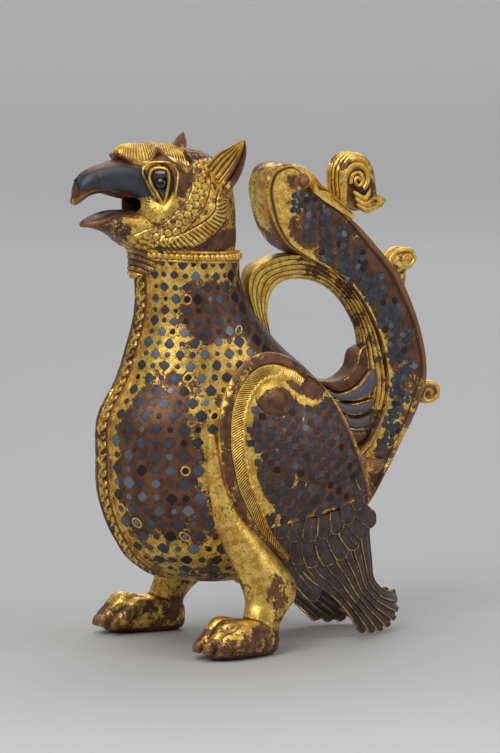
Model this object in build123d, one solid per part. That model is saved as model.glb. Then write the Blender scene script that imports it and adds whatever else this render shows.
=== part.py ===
from build123d import *
import math
import os

import numpy as np

os.makedirs("parts", exist_ok=True)

# A griffin-shaped pouring vessel. Its beak looks along -X, its left side is -Y, and it stands on Z = 0.
# All sizes are millimetres.

# Vessel
BODY_TOP_Z = 130.0
NECK_LOW_Z = 90.0
BELLY_HALF_LENGTH = 44.0
BELLY_HALF_WIDTH = 31.5
VESSEL_WALL = 2.4
PLUG_RADIUS = 5.0
# Height, centre X, half length and half width as shares of the belly's
BELLY_SECTIONS = (
    (21.3, -17.5, 0.182, 0.238),
    (22.4, -17.3, 0.330, 0.397),
    (24.6, -17.0, 0.477, 0.540),
    (29.0, -16.4, 0.657, 0.717),
    (38.0, -15.8, 0.836, 0.886),
    (50.0, -15.6, 0.957, 1.0),
    (64.0, -14.4, 1.009, 1.0),
    (78.0, -15.6, 0.968, 0.930),
    (90.0, -17.3, 0.780, 0.797),
)
# Height as a share of the neck's, centre X, half length and half width as shares of the belly's
NECK_SECTIONS = (
    (0.25, -21.4, 0.605, 0.692),
    (0.55, -24.7, 0.453, 0.590),
    (0.80, -26.9, 0.401, 0.540),
    (1.00, -28.2, 0.418, 0.546),
)

# Braid, collar and inlays on the vessel
BRAID_HALF_WIDTH = 4.2
BRAID_HEIGHT = 1.2
BRAID_END_GAP = 0.1
COLLAR_HEIGHT = 3.6
COLLAR_STAND = 0.9
COLLAR_LEAST_STAND = 0.35
COLLAR_ROUNDING = 0.36
INLAY_RADIUS = 1.5
INLAY_DEPTH = 0.9
INLAY_REACH = 2.0
BREAST_INLAY_PITCH = 11.0
BREAST_INLAY_COLUMNS = 7
BREAST_INLAY_ROWS = 9
BREAST_INLAY_LOW_Z = 33.0
BREAST_INLAY_SPREAD = 62.0

# Head, placed from the neck's top: rise, shift of the centre along X, growth of half length and half width
HEAD_WALL = 2.2
HEAD_HOLLOW_SECTIONS = 5
BEAK_LEAST_HALF_SIZE = 0.3
HEAD_SECTIONS = (
    (0.0, 0.0, 0.0, 0.0),
    (4.0, -1.6, 0.6, 0.6),
    (11.0, -2.1, 0.9, 0.5),
    (19.0, -2.4, 0.8, 0.0),
    (27.0, -3.0, -0.6, -1.9),
    (32.5, -4.8, -3.6, -5.0),
    (35.6, -6.8, -8.9, -9.0),
    (37.3, -8.8, -13.9, -13.0),
)
# Beak sections: distance forward of the neck's centre, height above the neck's top, half height, half width
UPPER_BEAK = (
    (15.0, 27.0, 8.6, 12.0),
    (24.0, 27.6, 6.2, 8.6),
    (30.0, 27.9, 4.6, 6.4),
    (36.0, 27.3, 3.6, 4.7),
    (40.0, 25.9, 3.5, 3.3),
    (42.5, 23.1, 3.0, 1.7),
)
LOWER_BEAK = (
    (15.0, 9.0, 7.6, 12.0),
    (24.0, 11.0, 5.5, 8.6),
    (30.0, 12.7, 3.4, 6.4),
    (34.0, 12.9, 2.1, 4.9),
    (37.0, 12.7, 1.1, 3.1),
    (38.6, 12.5, 0.5, 1.4),
)
MOUTH_HALF_HEIGHT = 3.1
MOUTH_HALF_WIDTH = 5.5
MOUTH_Z = 18.4
MOUTH_FRONT = 30.0
BEAK_PLATE = 0.9
# Side outline of the dark plate on the beak, forward of the neck's centre and above the neck's top
BEAK_PLATE_OUTLINE = (
    (36.3, 31.5),
    (32.0, 32.5),
    (20.6, 32.0),
    (19.2, 25.4),
    (20.0, 21.6),
    (25.8, 23.2),
    (33.3, 24.9),
    (36.3, 25.6),
)
BEAK_PLATE_INNER_Y = 1.6
EYE_FORWARD = 15.8
EYE_SIDE = 11.3
EYE_RISE = 27.0
EYE_HALF_WIDTH = 3.6
EYE_HALF_HEIGHT = 5.0
EYE_DEPTH = 1.6
EYE_REACH = 3.0
EYE_STONE_RADIUS = 1.5
CREST_FORWARD = 15.5
CREST_RISE = 32.4
CREST_HALF_SIZES = (9.0, 10.0, 6.6)
CREST_RIM_DROP = 0.8
EAR_ROOT = (0.2, 12.2, 22.0)
EAR_TIP = (10.7, 20.5, 40.0)
EAR_ROOT_HALF_WIDTH = 6.8
EAR_THICKNESS = 3.0
EAR_FACING = (0.85, 0, -0.55)
# Way from root to tip, and width there, as shares
EAR_SHAPE = (
    (0.0, 0.80),
    (0.35, 1.0),
    (0.7, 0.70),
    (1.0, 0.12),
)
EAR_THINNING = 0.2

# Wings: sections of the rounded form whose skin holds both wings: height, centre X, half length,
# half width as a share of the belly's, thickness of the wing there
WING_SECTIONS = (
    (-1.0, 11.0, 46.0, 0.51, 3.0),
    (20.0, 6.0, 44.0, 0.79, 3.4),
    (40.0, 2.0, 45.0, 1.02, 4.6),
    (60.0, -1.0, 47.0, 1.16, 7.0),
    (75.0, -4.0, 44.0, 1.14, 8.0),
    (88.0, -7.0, 38.0, 0.98, 9.0),
    (98.0, -11.0, 30.0, 0.76, 9.0),
    (106.0, -14.5, 20.0, 0.48, 7.0),
)
WING_FRONT_EDGE = (
    (0.7, 92.5),
    (-4.0, 96.5),
    (-12.0, 98.6),
    (-19.0, 96.7),
    (-28.6, 86.5),
    (-31.6, 70.0),
    (-27.7, 53.0),
    (-19.5, 41.0),
    (-5.8, 30.0),
)
WING_FEATHER_TIPS = (
    (-5.8, 30.0),
    (10.6, 15.5),
    (22.8, 8.0),
    (31.0, 2.6),
    (40.0, 0.0),
    (50.5, 0.0),
)
WING_REAR_EDGE = (
    (55.0, 9.0),
    (47.0, 11.0),
    (38.6, 19.0),
    (31.0, 27.0),
    (28.0, 36.0),
)
WING_BACK_EDGE = (
    (33.0, 40.0),
    (30.0, 46.0),
    (23.6, 55.0),
    (18.6, 66.0),
    (14.4, 74.6),
    (10.0, 83.0),
    (5.0, 89.0),
    (0.7, 92.5),
)
WING_INLAY_PITCH = 6.4
WING_INLAY_ROWS = 6
WING_INLAY_COLUMNS = 5
WING_INLAY_RADIUS = 1.9
WING_INLAY_FRONT_X = -15.0
WING_INLAY_LOW_Z = 52.0
WINGS_HALF_GAP = 0.6

# Legs: height, centre X, distance in from the belly's half width, half length, half width
LEG_SECTIONS = (
    (6.0, -19.0, -1.4, 6.5, 5.0),
    (13.0, -16.5, -0.6, 7.2, 5.2),
    (18.0, -13.4, 0.6, 8.8, 6.0),
    (23.0, -13.0, 1.6, 9.9, 6.4),
    (30.0, -17.0, 3.0, 9.0, 6.6),
    (38.0, -22.6, 5.0, 8.0, 6.8),
    (46.0, -26.0, 8.0, 7.4, 7.0),
)
# Paws: X, distance out from the belly's half width, centre height, half width, half height
PAW_SECTIONS = (
    (-11.8, 0.2, 6.0, 2.8, 3.6),
    (-15.0, 0.6, 6.4, 5.0, 7.2),
    (-21.0, 1.4, 6.8, 6.4, 8.6),
    (-29.0, 2.6, 7.6, 7.2, 8.4),
    (-35.4, 3.6, 7.6, 7.4, 7.6),
    (-39.4, 4.3, 7.0, 6.4, 5.4),
    (-42.4, 4.8, 6.6, 3.8, 2.8),
)

# Tail, which is the handle and the filling duct
TAIL_HALF_THICKNESS = 6.4
TAIL_WALL = 2.2
TAIL_SIDE_WALL = 2.0
TAIL_EDGE_CHAMFER = 1.4
TAIL_BULB_AND_INNER_EDGE = (
    (12.8, 157.6),
    (8.6, 160.0),
    (5.2, 159.8),
    (1.8, 158.2),
    (0.0, 154.9),
    (-0.5, 150.9),
    (0.4, 145.8),
    (2.6, 139.0),
    (7.2, 132.7),
    (13.0, 129.2),
    (19.8, 126.0),
    (26.4, 121.4),
    (33.0, 114.7),
    (38.5, 106.6),
    (42.5, 99.0),
    (45.3, 90.3),
    (46.1, 81.8),
    (44.5, 73.4),
    (41.0, 66.0),
    (34.0, 62.0),
    (24.0, 62.0),
)
TAIL_OUTER_EDGE = (
    (24.0, 41.0),
    (34.0, 40.0),
    (39.4, 42.9),
    (47.2, 54.3),
    (53.1, 64.2),
    (57.1, 70.8),
    (60.6, 78.1),
    (62.6, 84.1),
    (62.6, 90.9),
    (61.3, 97.8),
    (59.3, 104.7),
    (56.2, 112.3),
    (52.2, 120.0),
    (43.1, 130.6),
    (33.3, 140.0),
)
ROOT_INSIDE_X = 16.0
CURL_RADIUS = 2.6
CURL_CENTRE = (40.2, 57.0)
CURL_LENGTH = 8.4
CURL_ROUNDING = 1.17
TAIL_INLAY_PITCH = 7.4
TAIL_INLAY_RADIUS = 2.1
TAIL_INLAY_STRETCH = 0.75
TAIL_INLAY_STAGGER = 0.1

# Ring for the finger
RING_CENTRE = (22.0, 102.5)
RING_HOLE_HALF_LENGTH = 21.5
RING_HOLE_HALF_WIDTH = 14.7
RING_TILT = -45.0
RING_RIBS = 4
RING_RIB_PITCH = 1.2
RING_BACK_WIDTH = 3.4
RING_EDGE_HALF_THICKNESS = 1.8
RING_RIB_STEP = 0.9
PALMETTE_HALF_THICKNESS = 4.4
PALMETTE_OUTLINE = (
    (46.0, 97.0),
    (33.5, 97.0),
    (22.0, 88.0),
    (14.0, 84.0),
    (16.0, 62.0),
    (42.0, 60.0),
    (50.0, 72.0),
    (50.0, 90.0),
)

# Curled leaves on the tail's back
UPPER_VOLUTE = (
    (48.0, 123.5),
    (51.5, 127.4),
    (56.0, 129.2),
    (60.2, 128.2),
    (61.1, 125.3),
    (59.6, 122.6),
    (57.4, 121.6),
    (56.9, 117.8),
    (54.6, 112.0),
    (50.0, 118.0),
)
LOWER_VOLUTE = (
    (60.5, 85.2),
    (63.4, 83.4),
    (66.8, 83.3),
    (70.2, 81.4),
    (70.6, 78.2),
    (68.6, 75.8),
    (65.0, 75.4),
    (61.0, 76.6),
    (57.0, 74.0),
    (57.0, 84.0),
)
VOLUTE_HALF_THICKNESS = 2.8

# Lid over the filling hole, and its hinge
PIN_X = 13.6
PIN_Z = 153.5
PIN_RADIUS = 1.1
PIN_HEAD_RADIUS = 1.7
PIN_HEAD_HEIGHT = 0.9
PIN_CLEARANCE = 0.05
KNUCKLE_RADIUS = 5.4
KNUCKLE_HALF_WIDTH = 3.0
KNUCKLE_GAP = 0.35
CHEEK_RADIUS = 3.3
SEAT_NEAR = (16.4, 149.9)
SEAT_FAR = (33.3, 140.0)
SEAT_GAP = 0.2
LEAF_HALF_WIDTH = 6.2
LEAF_DOME = 7.6
LEAF_CHEEK_GAP = 0.5
LEAF_NECK_LENGTH = 2.0
LEAF_DOME_START = -6.0
LEAF_FRONT_RISE = 1.0
LEAF_FRONT_LEAN = 0.4
LEAF_RIDGE = (
    (19.6, 156.6),
    (22.1, 155.1),
    (29.9, 148.1),
    (33.6, 144.2),
)
FILLER_LENGTH = 9.6
FILLER_LEDGE = 0.5
FILLER_FROM_SEAT_NEAR = 5.0
SCROLL_HALF_WIDTH = 5.6
SCROLL_OUTLINE = (
    (31.9, 149.4),
    (29.9, 155.1),
    (29.2, 158.6),
    (30.8, 161.1),
    (33.8, 162.0),
    (38.1, 160.5),
    (41.2, 157.0),
    (43.6, 151.2),
    (45.5, 147.2),
    (48.2, 147.1),
    (48.9, 144.8),
    (47.4, 142.8),
    (44.6, 141.6),
    (40.6, 141.6),
    (36.6, 142.4),
)
SCROLL_EYE = (36.6, 153.0)
SCROLL_EYE_RADIUS = 3.0
SCROLL_EYE_DEPTH = 1.2

LEFT = -1
RIGHT = 1
FLOOR_REACH = 150.0
CUT_REACH = 1.0


def smooth_between(x, rows, column):
    """Value of a table's column at x, on a smooth curve through its rows."""
    table = np.array(rows)
    places = table[:, 0]
    values = table[:, column]
    slopes = np.gradient(values, places)
    i = int(np.clip(np.searchsorted(places, x) - 1, 0, len(places) - 2))
    step = places[i + 1] - places[i]
    t = (x - places[i]) / step
    first = (1 + 2 * t) * (1 - t) ** 2 * values[i] + t * (1 - t) ** 2 * step * slopes[i]
    second = t * t * (3 - 2 * t) * values[i + 1] + t * t * (t - 1) * step * slopes[i + 1]
    return float(first + second)


def vessel_rows():
    """All the vessel's sections, the neck's with their real heights."""
    neck_height = BODY_TOP_Z - NECK_LOW_Z
    neck = [(NECK_LOW_Z + share * neck_height, *sizes) for share, *sizes in NECK_SECTIONS]
    return [*BELLY_SECTIONS, *neck]


VESSEL_SECTIONS = vessel_rows()
VESSEL_LOW_Z = VESSEL_SECTIONS[0][0]


def vessel_size(z):
    """Centre X, half length and half width of the vessel at a height."""
    length = smooth_between(z, VESSEL_SECTIONS, 2) * BELLY_HALF_LENGTH
    width = smooth_between(z, VESSEL_SECTIONS, 3) * BELLY_HALF_WIDTH
    return smooth_between(z, VESSEL_SECTIONS, 1), length, width


NECK_X, NECK_HALF_LENGTH, NECK_HALF_WIDTH = vessel_size(BODY_TOP_Z)


def level_ellipse(z, centre_x, half_length, half_width, centre_y=0.0):
    """Flat ellipse at a height."""
    return Plane((centre_x, centre_y, z)) * Ellipse(half_length, half_width)


def cross_ellipse(x, y, z, half_width, half_height):
    """Upright ellipse that faces along X."""
    plane = Plane(origin=(x, y, z), x_dir=(0, 1, 0), z_dir=(-1, 0, 0))
    return plane * Ellipse(half_width, half_height)


def side_prism(face, low_y, high_y):
    """Face drawn in X and Z, carried from one Y to another."""
    plane = Plane(origin=(0, high_y, 0), x_dir=(1, 0, 0), z_dir=(0, -1, 0))
    return extrude(plane * face, amount=high_y - low_y)


def polygon_face(points):
    return make_face(Polyline(*points, close=True))


def smooth_face(points):
    return make_face(Spline(*points, periodic=True))


def joined(solids):
    """One solid from overlapping ones."""
    result = solids[0]
    for solid in solids[1:]:
        result = result + solid
    return result


def largest(shape):
    return shape.solids().sort_by(lambda solid: solid.volume)[-1]


def under_floor():
    """Block of all that lies under the floor."""
    width = FLOOR_REACH * 2
    return Pos(0, 0, -FLOOR_REACH / 2) * Box(width, width, FLOOR_REACH)


def turned_ellipse(centre, half_length, half_width, tilt):
    return Pos(centre[0], centre[1]) * Rot(0, 0, tilt) * Ellipse(half_length, half_width)


# Vessel

def vessel_solid(inset=0.0):
    """Vessel's rounded form, drawn in by an inset all round and at the bottom."""
    low_z = VESSEL_LOW_Z + inset
    kept = [low_z] + [row[0] for row in VESSEL_SECTIONS if row[0] > low_z + 1.0]
    sections = []
    for z in kept:
        centre, half_length, half_width = vessel_size(z)
        sections.append(level_ellipse(z, centre, half_length - inset, half_width - inset))
    return loft(sections)


def plug_cylinder(height):
    centre, _, _ = vessel_size(VESSEL_LOW_Z)
    return Pos(centre, 0, VESSEL_LOW_Z + height / 2) * Cylinder(PLUG_RADIUS, height)


def body_shell(outer, duct, inlays):
    """Hollow vessel, open at the neck, at the tail's duct and under the belly."""
    shell = outer - vessel_solid(VESSEL_WALL)
    shell = shell - plug_cylinder(VESSEL_WALL * 2)
    return shell - duct - inlays


def belly_plug():
    return plug_cylinder(VESSEL_WALL)


def breast_braid(outer):
    """Raised braid from the collar down the breast to the belly's underside."""
    raised = vessel_solid(-BRAID_HEIGHT)
    front_x = NECK_X - NECK_HALF_LENGTH / 2
    low_z = VESSEL_SECTIONS[2][0]
    high_z = BODY_TOP_Z - COLLAR_HEIGHT / 2 - BRAID_END_GAP
    length = BELLY_HALF_LENGTH * 2
    strip = Box(length, BRAID_HALF_WIDTH * 2, high_z - low_z)
    strip = Pos(front_x - length / 2, 0, (high_z + low_z) / 2) * strip
    return (raised & strip) - outer


def pearled_collar(outer, head):
    """Collar over the joint of neck and head, proud of the neck's flare over its whole height."""
    low_z = BODY_TOP_Z - COLLAR_HEIGHT / 2
    size = BELLY_HALF_LENGTH * 2
    slab = Pos(NECK_X, 0, BODY_TOP_Z - COLLAR_HEIGHT / 4) * Box(size, size, COLLAR_HEIGHT / 2)
    flare = (outer & slab).bounding_box()
    flare_length = max(NECK_X - flare.min.X, flare.max.X - NECK_X)
    rim_length = max(NECK_HALF_LENGTH + COLLAR_STAND, flare_length + COLLAR_LEAST_STAND)
    rim_width = max(NECK_HALF_WIDTH + COLLAR_STAND, flare.max.Y + COLLAR_LEAST_STAND)
    band = extrude(level_ellipse(low_z, NECK_X, rim_length, rim_width), COLLAR_HEIGHT)
    band = fillet(band.edges(), COLLAR_ROUNDING)
    return band - outer - head


def surface_stud(x, y, z, normal, radius):
    """Round plug across a surface, from its depth in the metal to a reach outside it."""
    plane = Plane(origin=(x, y, z), z_dir=normal)
    stud = Cylinder(radius, INLAY_DEPTH + INLAY_REACH)
    return plane * Pos(0, 0, (INLAY_REACH - INLAY_DEPTH) / 2) * stud


def flush_inlays(studs, carrier):
    """Studs trimmed level with the skin of what carries them, as one group of solids."""
    trimmed = carrier & Compound(children=[stud.solid() for stud in studs])
    return Compound(children=trimmed.solids())


def ellipse_normal(offset_x, y, half_length, half_width):
    """Level normal of an ellipse at a point on it."""
    normal = np.array([offset_x / half_length ** 2, y / half_width ** 2, 0.0])
    return tuple(normal / np.linalg.norm(normal))


def breast_inlays(outer):
    """Silver studs in rows across the breast, staggered row by row, on both sides of the braid."""
    studs = []
    for row in range(BREAST_INLAY_ROWS):
        z = BREAST_INLAY_LOW_Z + row * BREAST_INLAY_PITCH
        centre, half_length, half_width = vessel_size(z)
        girth = (half_length + half_width) / 2
        shift = 0.5 if row % 2 else 0.0
        for side in (LEFT, RIGHT):
            for column in range(BREAST_INLAY_COLUMNS):
                angle = (column + 1.0 + shift) * BREAST_INLAY_PITCH / girth
                if angle > math.radians(BREAST_INLAY_SPREAD):
                    continue
                offset = -half_length * math.cos(angle)
                y = side * half_width * math.sin(angle)
                normal = ellipse_normal(offset, y, half_length, half_width)
                studs.append(surface_stud(centre + offset, y, z, normal, INLAY_RADIUS))
    return flush_inlays(studs, outer)


# Head

def head_size(row, inset):
    rise, shift, longer, wider = row
    half_length = NECK_HALF_LENGTH + longer - inset
    half_width = NECK_HALF_WIDTH + wider - inset
    return level_ellipse(BODY_TOP_Z + rise, NECK_X + shift, half_length, half_width)


def skull(inset=0.0):
    rows = HEAD_SECTIONS
    if inset > 0:
        rows = HEAD_SECTIONS[:HEAD_HOLLOW_SECTIONS]
    return loft([head_size(row, inset) for row in rows])


def beak(rows, inset=0.0):
    """Half of the beak, lofted forward from inside the head."""
    sections = []
    for forward, rise, half_height, half_width in rows:
        tall = max(half_height - inset, BEAK_LEAST_HALF_SIZE)
        wide = max(half_width - inset, BEAK_LEAST_HALF_SIZE)
        sections.append(cross_ellipse(NECK_X - forward, 0, BODY_TOP_Z + rise, wide, tall))
    return loft(sections)


def mouth_passage():
    """Mouth's way from between the beaks into the head."""
    shape = cross_ellipse(
        NECK_X, 0, BODY_TOP_Z + MOUTH_Z, MOUTH_HALF_WIDTH, MOUTH_HALF_HEIGHT
    )
    return extrude(shape, MOUTH_FRONT)


def beak_plate(side):
    """Dark plate let into one side of the upper beak."""
    points = [(NECK_X - forward, BODY_TOP_Z + rise) for forward, rise in BEAK_PLATE_OUTLINE]
    reach = NECK_HALF_WIDTH
    lows = sorted((side * BEAK_PLATE_INNER_Y, side * reach))
    prism = side_prism(polygon_face(points), lows[0], lows[1])
    plate = (prism & beak(UPPER_BEAK)) - beak(UPPER_BEAK, BEAK_PLATE) - skull()
    return plate - eye_pocket(side, EYE_HALF_HEIGHT, EYE_HALF_WIDTH)


def eye_plane(side):
    """Plane on the head's side at the eye, facing outwards."""
    half_length = NECK_HALF_LENGTH + HEAD_SECTIONS[4][2]
    half_width = NECK_HALF_WIDTH + HEAD_SECTIONS[4][3]
    offset = -EYE_FORWARD - HEAD_SECTIONS[4][1]
    normal = ellipse_normal(offset, side * EYE_SIDE, half_length, half_width)
    origin = (NECK_X - EYE_FORWARD, side * EYE_SIDE, BODY_TOP_Z + EYE_RISE)
    return Plane(origin=origin, x_dir=(0, 0, 1), z_dir=normal)


def eye_pocket(side, half_height, half_width):
    """Oval plug at the eye, from its depth under the surface to a reach over it."""
    face = eye_plane(side) * Pos(0, 0, -EYE_DEPTH) * Ellipse(half_height, half_width)
    return extrude(face, EYE_DEPTH + EYE_REACH)


def head_shell(parts):
    """Hollow head with its open beak, and pockets for the plates and eyes."""
    form = skull() + beak(UPPER_BEAK) + beak(LOWER_BEAK)
    shell = form - skull(HEAD_WALL) - mouth_passage()
    for part in parts:
        shell = shell - part
    return shell


def eye_inlay(side, form):
    """Oval plate of the eye, level with the head's skin, with a hole for its stone."""
    plug = eye_pocket(side, EYE_HALF_HEIGHT, EYE_HALF_WIDTH)
    return (plug & form) - eye_pocket(side, EYE_STONE_RADIUS, EYE_STONE_RADIUS)


def eye_stone(side):
    """Round stone of the eye, domed over its plate."""
    plane = eye_plane(side)
    shank = extrude(plane * Pos(0, 0, -EYE_DEPTH) * Circle(EYE_STONE_RADIUS), EYE_DEPTH)
    return shank + plane * Sphere(EYE_STONE_RADIUS)


def brow_crest(form):
    """Crest over the brow, a thin cap on the head's top."""
    cap = scale(Sphere(1.0), by=CREST_HALF_SIZES)
    cap = Pos(NECK_X - CREST_FORWARD, 0, BODY_TOP_Z + CREST_RISE) * cap
    width = CREST_HALF_SIZES[1] * 2
    height = CREST_HALF_SIZES[2] + CREST_RIM_DROP
    middle_z = BODY_TOP_Z + CREST_RISE - CREST_RIM_DROP + height / 2
    keep = Pos(NECK_X - CREST_FORWARD, 0, middle_z) * Box(width, width, height)
    return (cap & keep) - form


def ear(side, form):
    """Pointed ear, lofted from the head's side to its tip."""
    root = np.array([NECK_X + EAR_ROOT[0], side * EAR_ROOT[1], BODY_TOP_Z + EAR_ROOT[2]])
    tip = np.array([NECK_X + EAR_TIP[0], side * EAR_TIP[1], BODY_TOP_Z + EAR_TIP[2]])
    way = tip - root
    sections = []
    for along, share in EAR_SHAPE:
        plane = Plane(origin=tuple(root + way * along), x_dir=EAR_FACING, z_dir=tuple(way))
        thick = EAR_THICKNESS / 2 * min(1.0, share + EAR_THINNING)
        sections.append(plane * Ellipse(EAR_ROOT_HALF_WIDTH * share, thick))
    return loft(sections) - form


# Wings

def wing_form(inner):
    """Rounded form whose skin both wings lie in, or the form inside that skin."""
    sections = []
    for z, centre, half_length, width_share, thickness in WING_SECTIONS:
        inset = thickness if inner else 0.0
        half_width = BELLY_HALF_WIDTH * width_share
        sections.append(level_ellipse(z, centre, half_length - inset, half_width - inset))
    return loft(sections)


def wing_outline():
    edges = [
        Spline(*WING_FRONT_EDGE),
        Spline(*WING_FEATHER_TIPS),
        Line(WING_FEATHER_TIPS[-1], WING_REAR_EDGE[0]),
        Spline(*WING_REAR_EDGE),
        Line(WING_REAR_EDGE[-1], WING_BACK_EDGE[0]),
        Spline(*WING_BACK_EDGE),
    ]
    return make_face(edges)


def wing(side, skin, outer, tail):
    """One wing, cut from the skin by its outline and seated on the vessel."""
    reach = BELLY_HALF_WIDTH * 2
    lows = sorted((side * WINGS_HALF_GAP, side * reach))
    cut = side_prism(wing_outline(), lows[0], lows[1]) & skin
    return largest(cut - outer - tail - under_floor())


def wing_size(z):
    width = smooth_between(z, WING_SECTIONS, 3) * BELLY_HALF_WIDTH
    return smooth_between(z, WING_SECTIONS, 1), smooth_between(z, WING_SECTIONS, 2), width


def wing_inlays(side, plain_wing):
    """Silver studs in staggered rows on the wing's upper part."""
    studs = []
    for row in range(WING_INLAY_ROWS):
        z = WING_INLAY_LOW_Z + row * WING_INLAY_PITCH
        centre, half_length, half_width = wing_size(z)
        shift = 0.5 if row % 2 else 0.0
        for column in range(WING_INLAY_COLUMNS - row // 3):
            x = WING_INLAY_FRONT_X + (column + shift) * WING_INLAY_PITCH
            y = side * half_width * math.sqrt(1 - ((x - centre) / half_length) ** 2)
            normal = ellipse_normal(x - centre, y, half_length, half_width)
            studs.append(surface_stud(x, y, z, normal, WING_INLAY_RADIUS))
    return flush_inlays(studs, plain_wing)


# Legs

def leg(side, outer, near_wing):
    """Leg with its splayed paw, flat on the floor, seated under the belly and the wing."""
    sections = []
    for z, x, inward, half_length, half_width in LEG_SECTIONS:
        y = side * (BELLY_HALF_WIDTH - inward)
        sections.append(level_ellipse(z, x, half_length, half_width, y))
    toes = []
    for x, outward, z, half_width, half_height in PAW_SECTIONS:
        y = side * (BELLY_HALF_WIDTH + outward)
        toes.append(cross_ellipse(x, y, z, half_width, half_height))
    return largest((loft(sections) + loft(toes)) - under_floor() - outer - near_wing)


# Tail

def moved_inwards(points, distance):
    """Points of an open edge, moved to its right by a distance."""
    line = np.array(points)
    along = np.gradient(line, axis=0)
    along /= np.linalg.norm(along, axis=1)[:, None]
    right = np.stack([along[:, 1], -along[:, 0]], axis=1)
    return [tuple(point) for point in (line - right * distance)]


def tail_face(inset=0.0):
    """Side outline of the tail, drawn in by an inset along both long edges."""
    inner = moved_inwards(TAIL_BULB_AND_INNER_EDGE, inset)
    outer = moved_inwards(TAIL_OUTER_EDGE, inset)
    edges = [
        Spline(*inner),
        Polyline(inner[-1], (ROOT_INSIDE_X, inner[-1][1]), (ROOT_INSIDE_X, outer[0][1]), outer[0]),
        Spline(*outer),
        Polyline(outer[-1], seat_point(0.0, -inset), inner[0]),
    ]
    return make_face(edges)


def seat_direction():
    way = np.array(SEAT_FAR) - np.array(SEAT_NEAR)
    return way / np.linalg.norm(way)


def seat_point(along, over):
    """Point a way along the lid's seat and a height over it."""
    way = seat_direction()
    up = np.array([-way[1], way[0]])
    return tuple(np.array(SEAT_NEAR) + way * along + up * over)


def pin_cylinder(radius, low_y, high_y):
    disc = Pos(PIN_X, PIN_Z) * Circle(radius)
    return side_prism(disc, low_y, high_y)


def duct_solid():
    """Hollow way for the water from the filling hole down the tail into the vessel."""
    half = TAIL_HALF_THICKNESS - TAIL_SIDE_WALL
    return side_prism(tail_face(TAIL_WALL), -half, half)


def filler_hole():
    """Slot through the lid's seat into the tail's duct."""
    near = FILLER_FROM_SEAT_NEAR
    far = near + FILLER_LENGTH
    deep = TAIL_WALL * 2
    half = TAIL_HALF_THICKNESS - TAIL_SIDE_WALL - FILLER_LEDGE
    corners = [
        seat_point(near, CUT_REACH),
        seat_point(far, CUT_REACH),
        seat_point(far, -deep),
        seat_point(near, -deep),
    ]
    return side_prism(polygon_face(corners), -half, half)


def tail_form():
    """Outer form of the tail with the cheeks of its hinge."""
    half = TAIL_HALF_THICKNESS
    form = side_prism(tail_face(), -half, half)
    sides = form.faces().sort_by(Axis.Y)
    form = chamfer(sides[0].edges() + sides[-1].edges(), TAIL_EDGE_CHAMFER)
    cheek = pin_cylinder(CHEEK_RADIUS, -half, half)
    return form + cheek


def tail_shell(form, duct, outer, inlays):
    """Hollow tail with filling hole, hinge slot and pin holes, seated on the vessel."""
    half = TAIL_HALF_THICKNESS
    shell = form - duct - filler_hole() - outer - inlays
    slot = KNUCKLE_HALF_WIDTH + KNUCKLE_GAP
    shell = shell - pin_cylinder(KNUCKLE_RADIUS + KNUCKLE_GAP, -slot, slot)
    return largest(shell - pin_cylinder(PIN_RADIUS, -half - CUT_REACH, half + CUT_REACH))


def root_curl(side, outer, tail, near_wing):
    """Small roll across the tail's root."""
    plane = Plane(
        origin=(CURL_CENTRE[0] - CURL_LENGTH / 2, side * TAIL_HALF_THICKNESS, CURL_CENTRE[1]),
        x_dir=(0, 1, 0),
        z_dir=(1, 0, 0),
    )
    roll = extrude(plane * Circle(CURL_RADIUS), CURL_LENGTH)
    roll = fillet(roll.edges(), CURL_ROUNDING)
    return roll - outer - tail - near_wing


def tail_root_curls(outer, tail, wings):
    rolls = [root_curl(side, outer, tail, wings[side]) for side in (LEFT, RIGHT)]
    solids = [solid for roll in rolls for solid in roll.solids()]
    return Compound(children=solids)


def tail_inlays(form):
    """Four-lobed silver studs in a staggered row down each side of the tail."""
    inner = np.array(TAIL_BULB_AND_INNER_EDGE[8:18])
    outer = np.array(TAIL_OUTER_EDGE[::-1])
    steps = np.linalg.norm(np.diff(outer, axis=0), axis=1)
    length = np.concatenate([[0.0], np.cumsum(steps)])
    studs = []
    for index in range(int(length[-1] * TAIL_INLAY_STRETCH // TAIL_INLAY_PITCH)):
        way = index * TAIL_INLAY_PITCH
        edge = np.array([np.interp(way, length, outer[:, 0]), np.interp(way, length, outer[:, 1])])
        nearest = inner[np.argmin(np.linalg.norm(inner - edge, axis=1))]
        share = 0.5 - TAIL_INLAY_STAGGER if index % 2 else 0.5 + TAIL_INLAY_STAGGER
        x, z = edge + (nearest - edge) * share
        for side in (LEFT, RIGHT):
            y = side * TAIL_HALF_THICKNESS
            studs.append(surface_stud(x, y, z, (0, side, 0), TAIL_INLAY_RADIUS))
    return flush_inlays(studs, form)


# Ring, palmette and volutes

def ring_hole(wider=0.0):
    return turned_ellipse(
        RING_CENTRE, RING_HOLE_HALF_LENGTH + wider, RING_HOLE_HALF_WIDTH + wider, RING_TILT
    )


def handle_ring(outer, tail, palmette_block):
    """Ribbed finger ring between the neck and the tail, thinner towards its hole."""
    half = RING_EDGE_HALF_THICKNESS
    bands = []
    for rib in range(RING_RIBS):
        hole = ring_hole(rib * RING_RIB_PITCH)
        rim = ring_hole(RING_RIBS * RING_RIB_PITCH + RING_BACK_WIDTH - RING_RIB_PITCH)
        thick = half + rib * RING_RIB_STEP
        bands.append(side_prism(rim - hole, -thick, thick))
    return largest(joined(bands) - outer - tail - palmette_block)


def palmette_solid():
    half = PALMETTE_HALF_THICKNESS
    face = polygon_face(PALMETTE_OUTLINE) - ring_hole()
    return side_prism(face, -half, half)


def ring_palmette(block, outer, tail, wings):
    """Leaf of crescents that fills the corner between the ring's hole, the vessel and the tail."""
    return largest(block - outer - tail - wings[LEFT] - wings[RIGHT])


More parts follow.
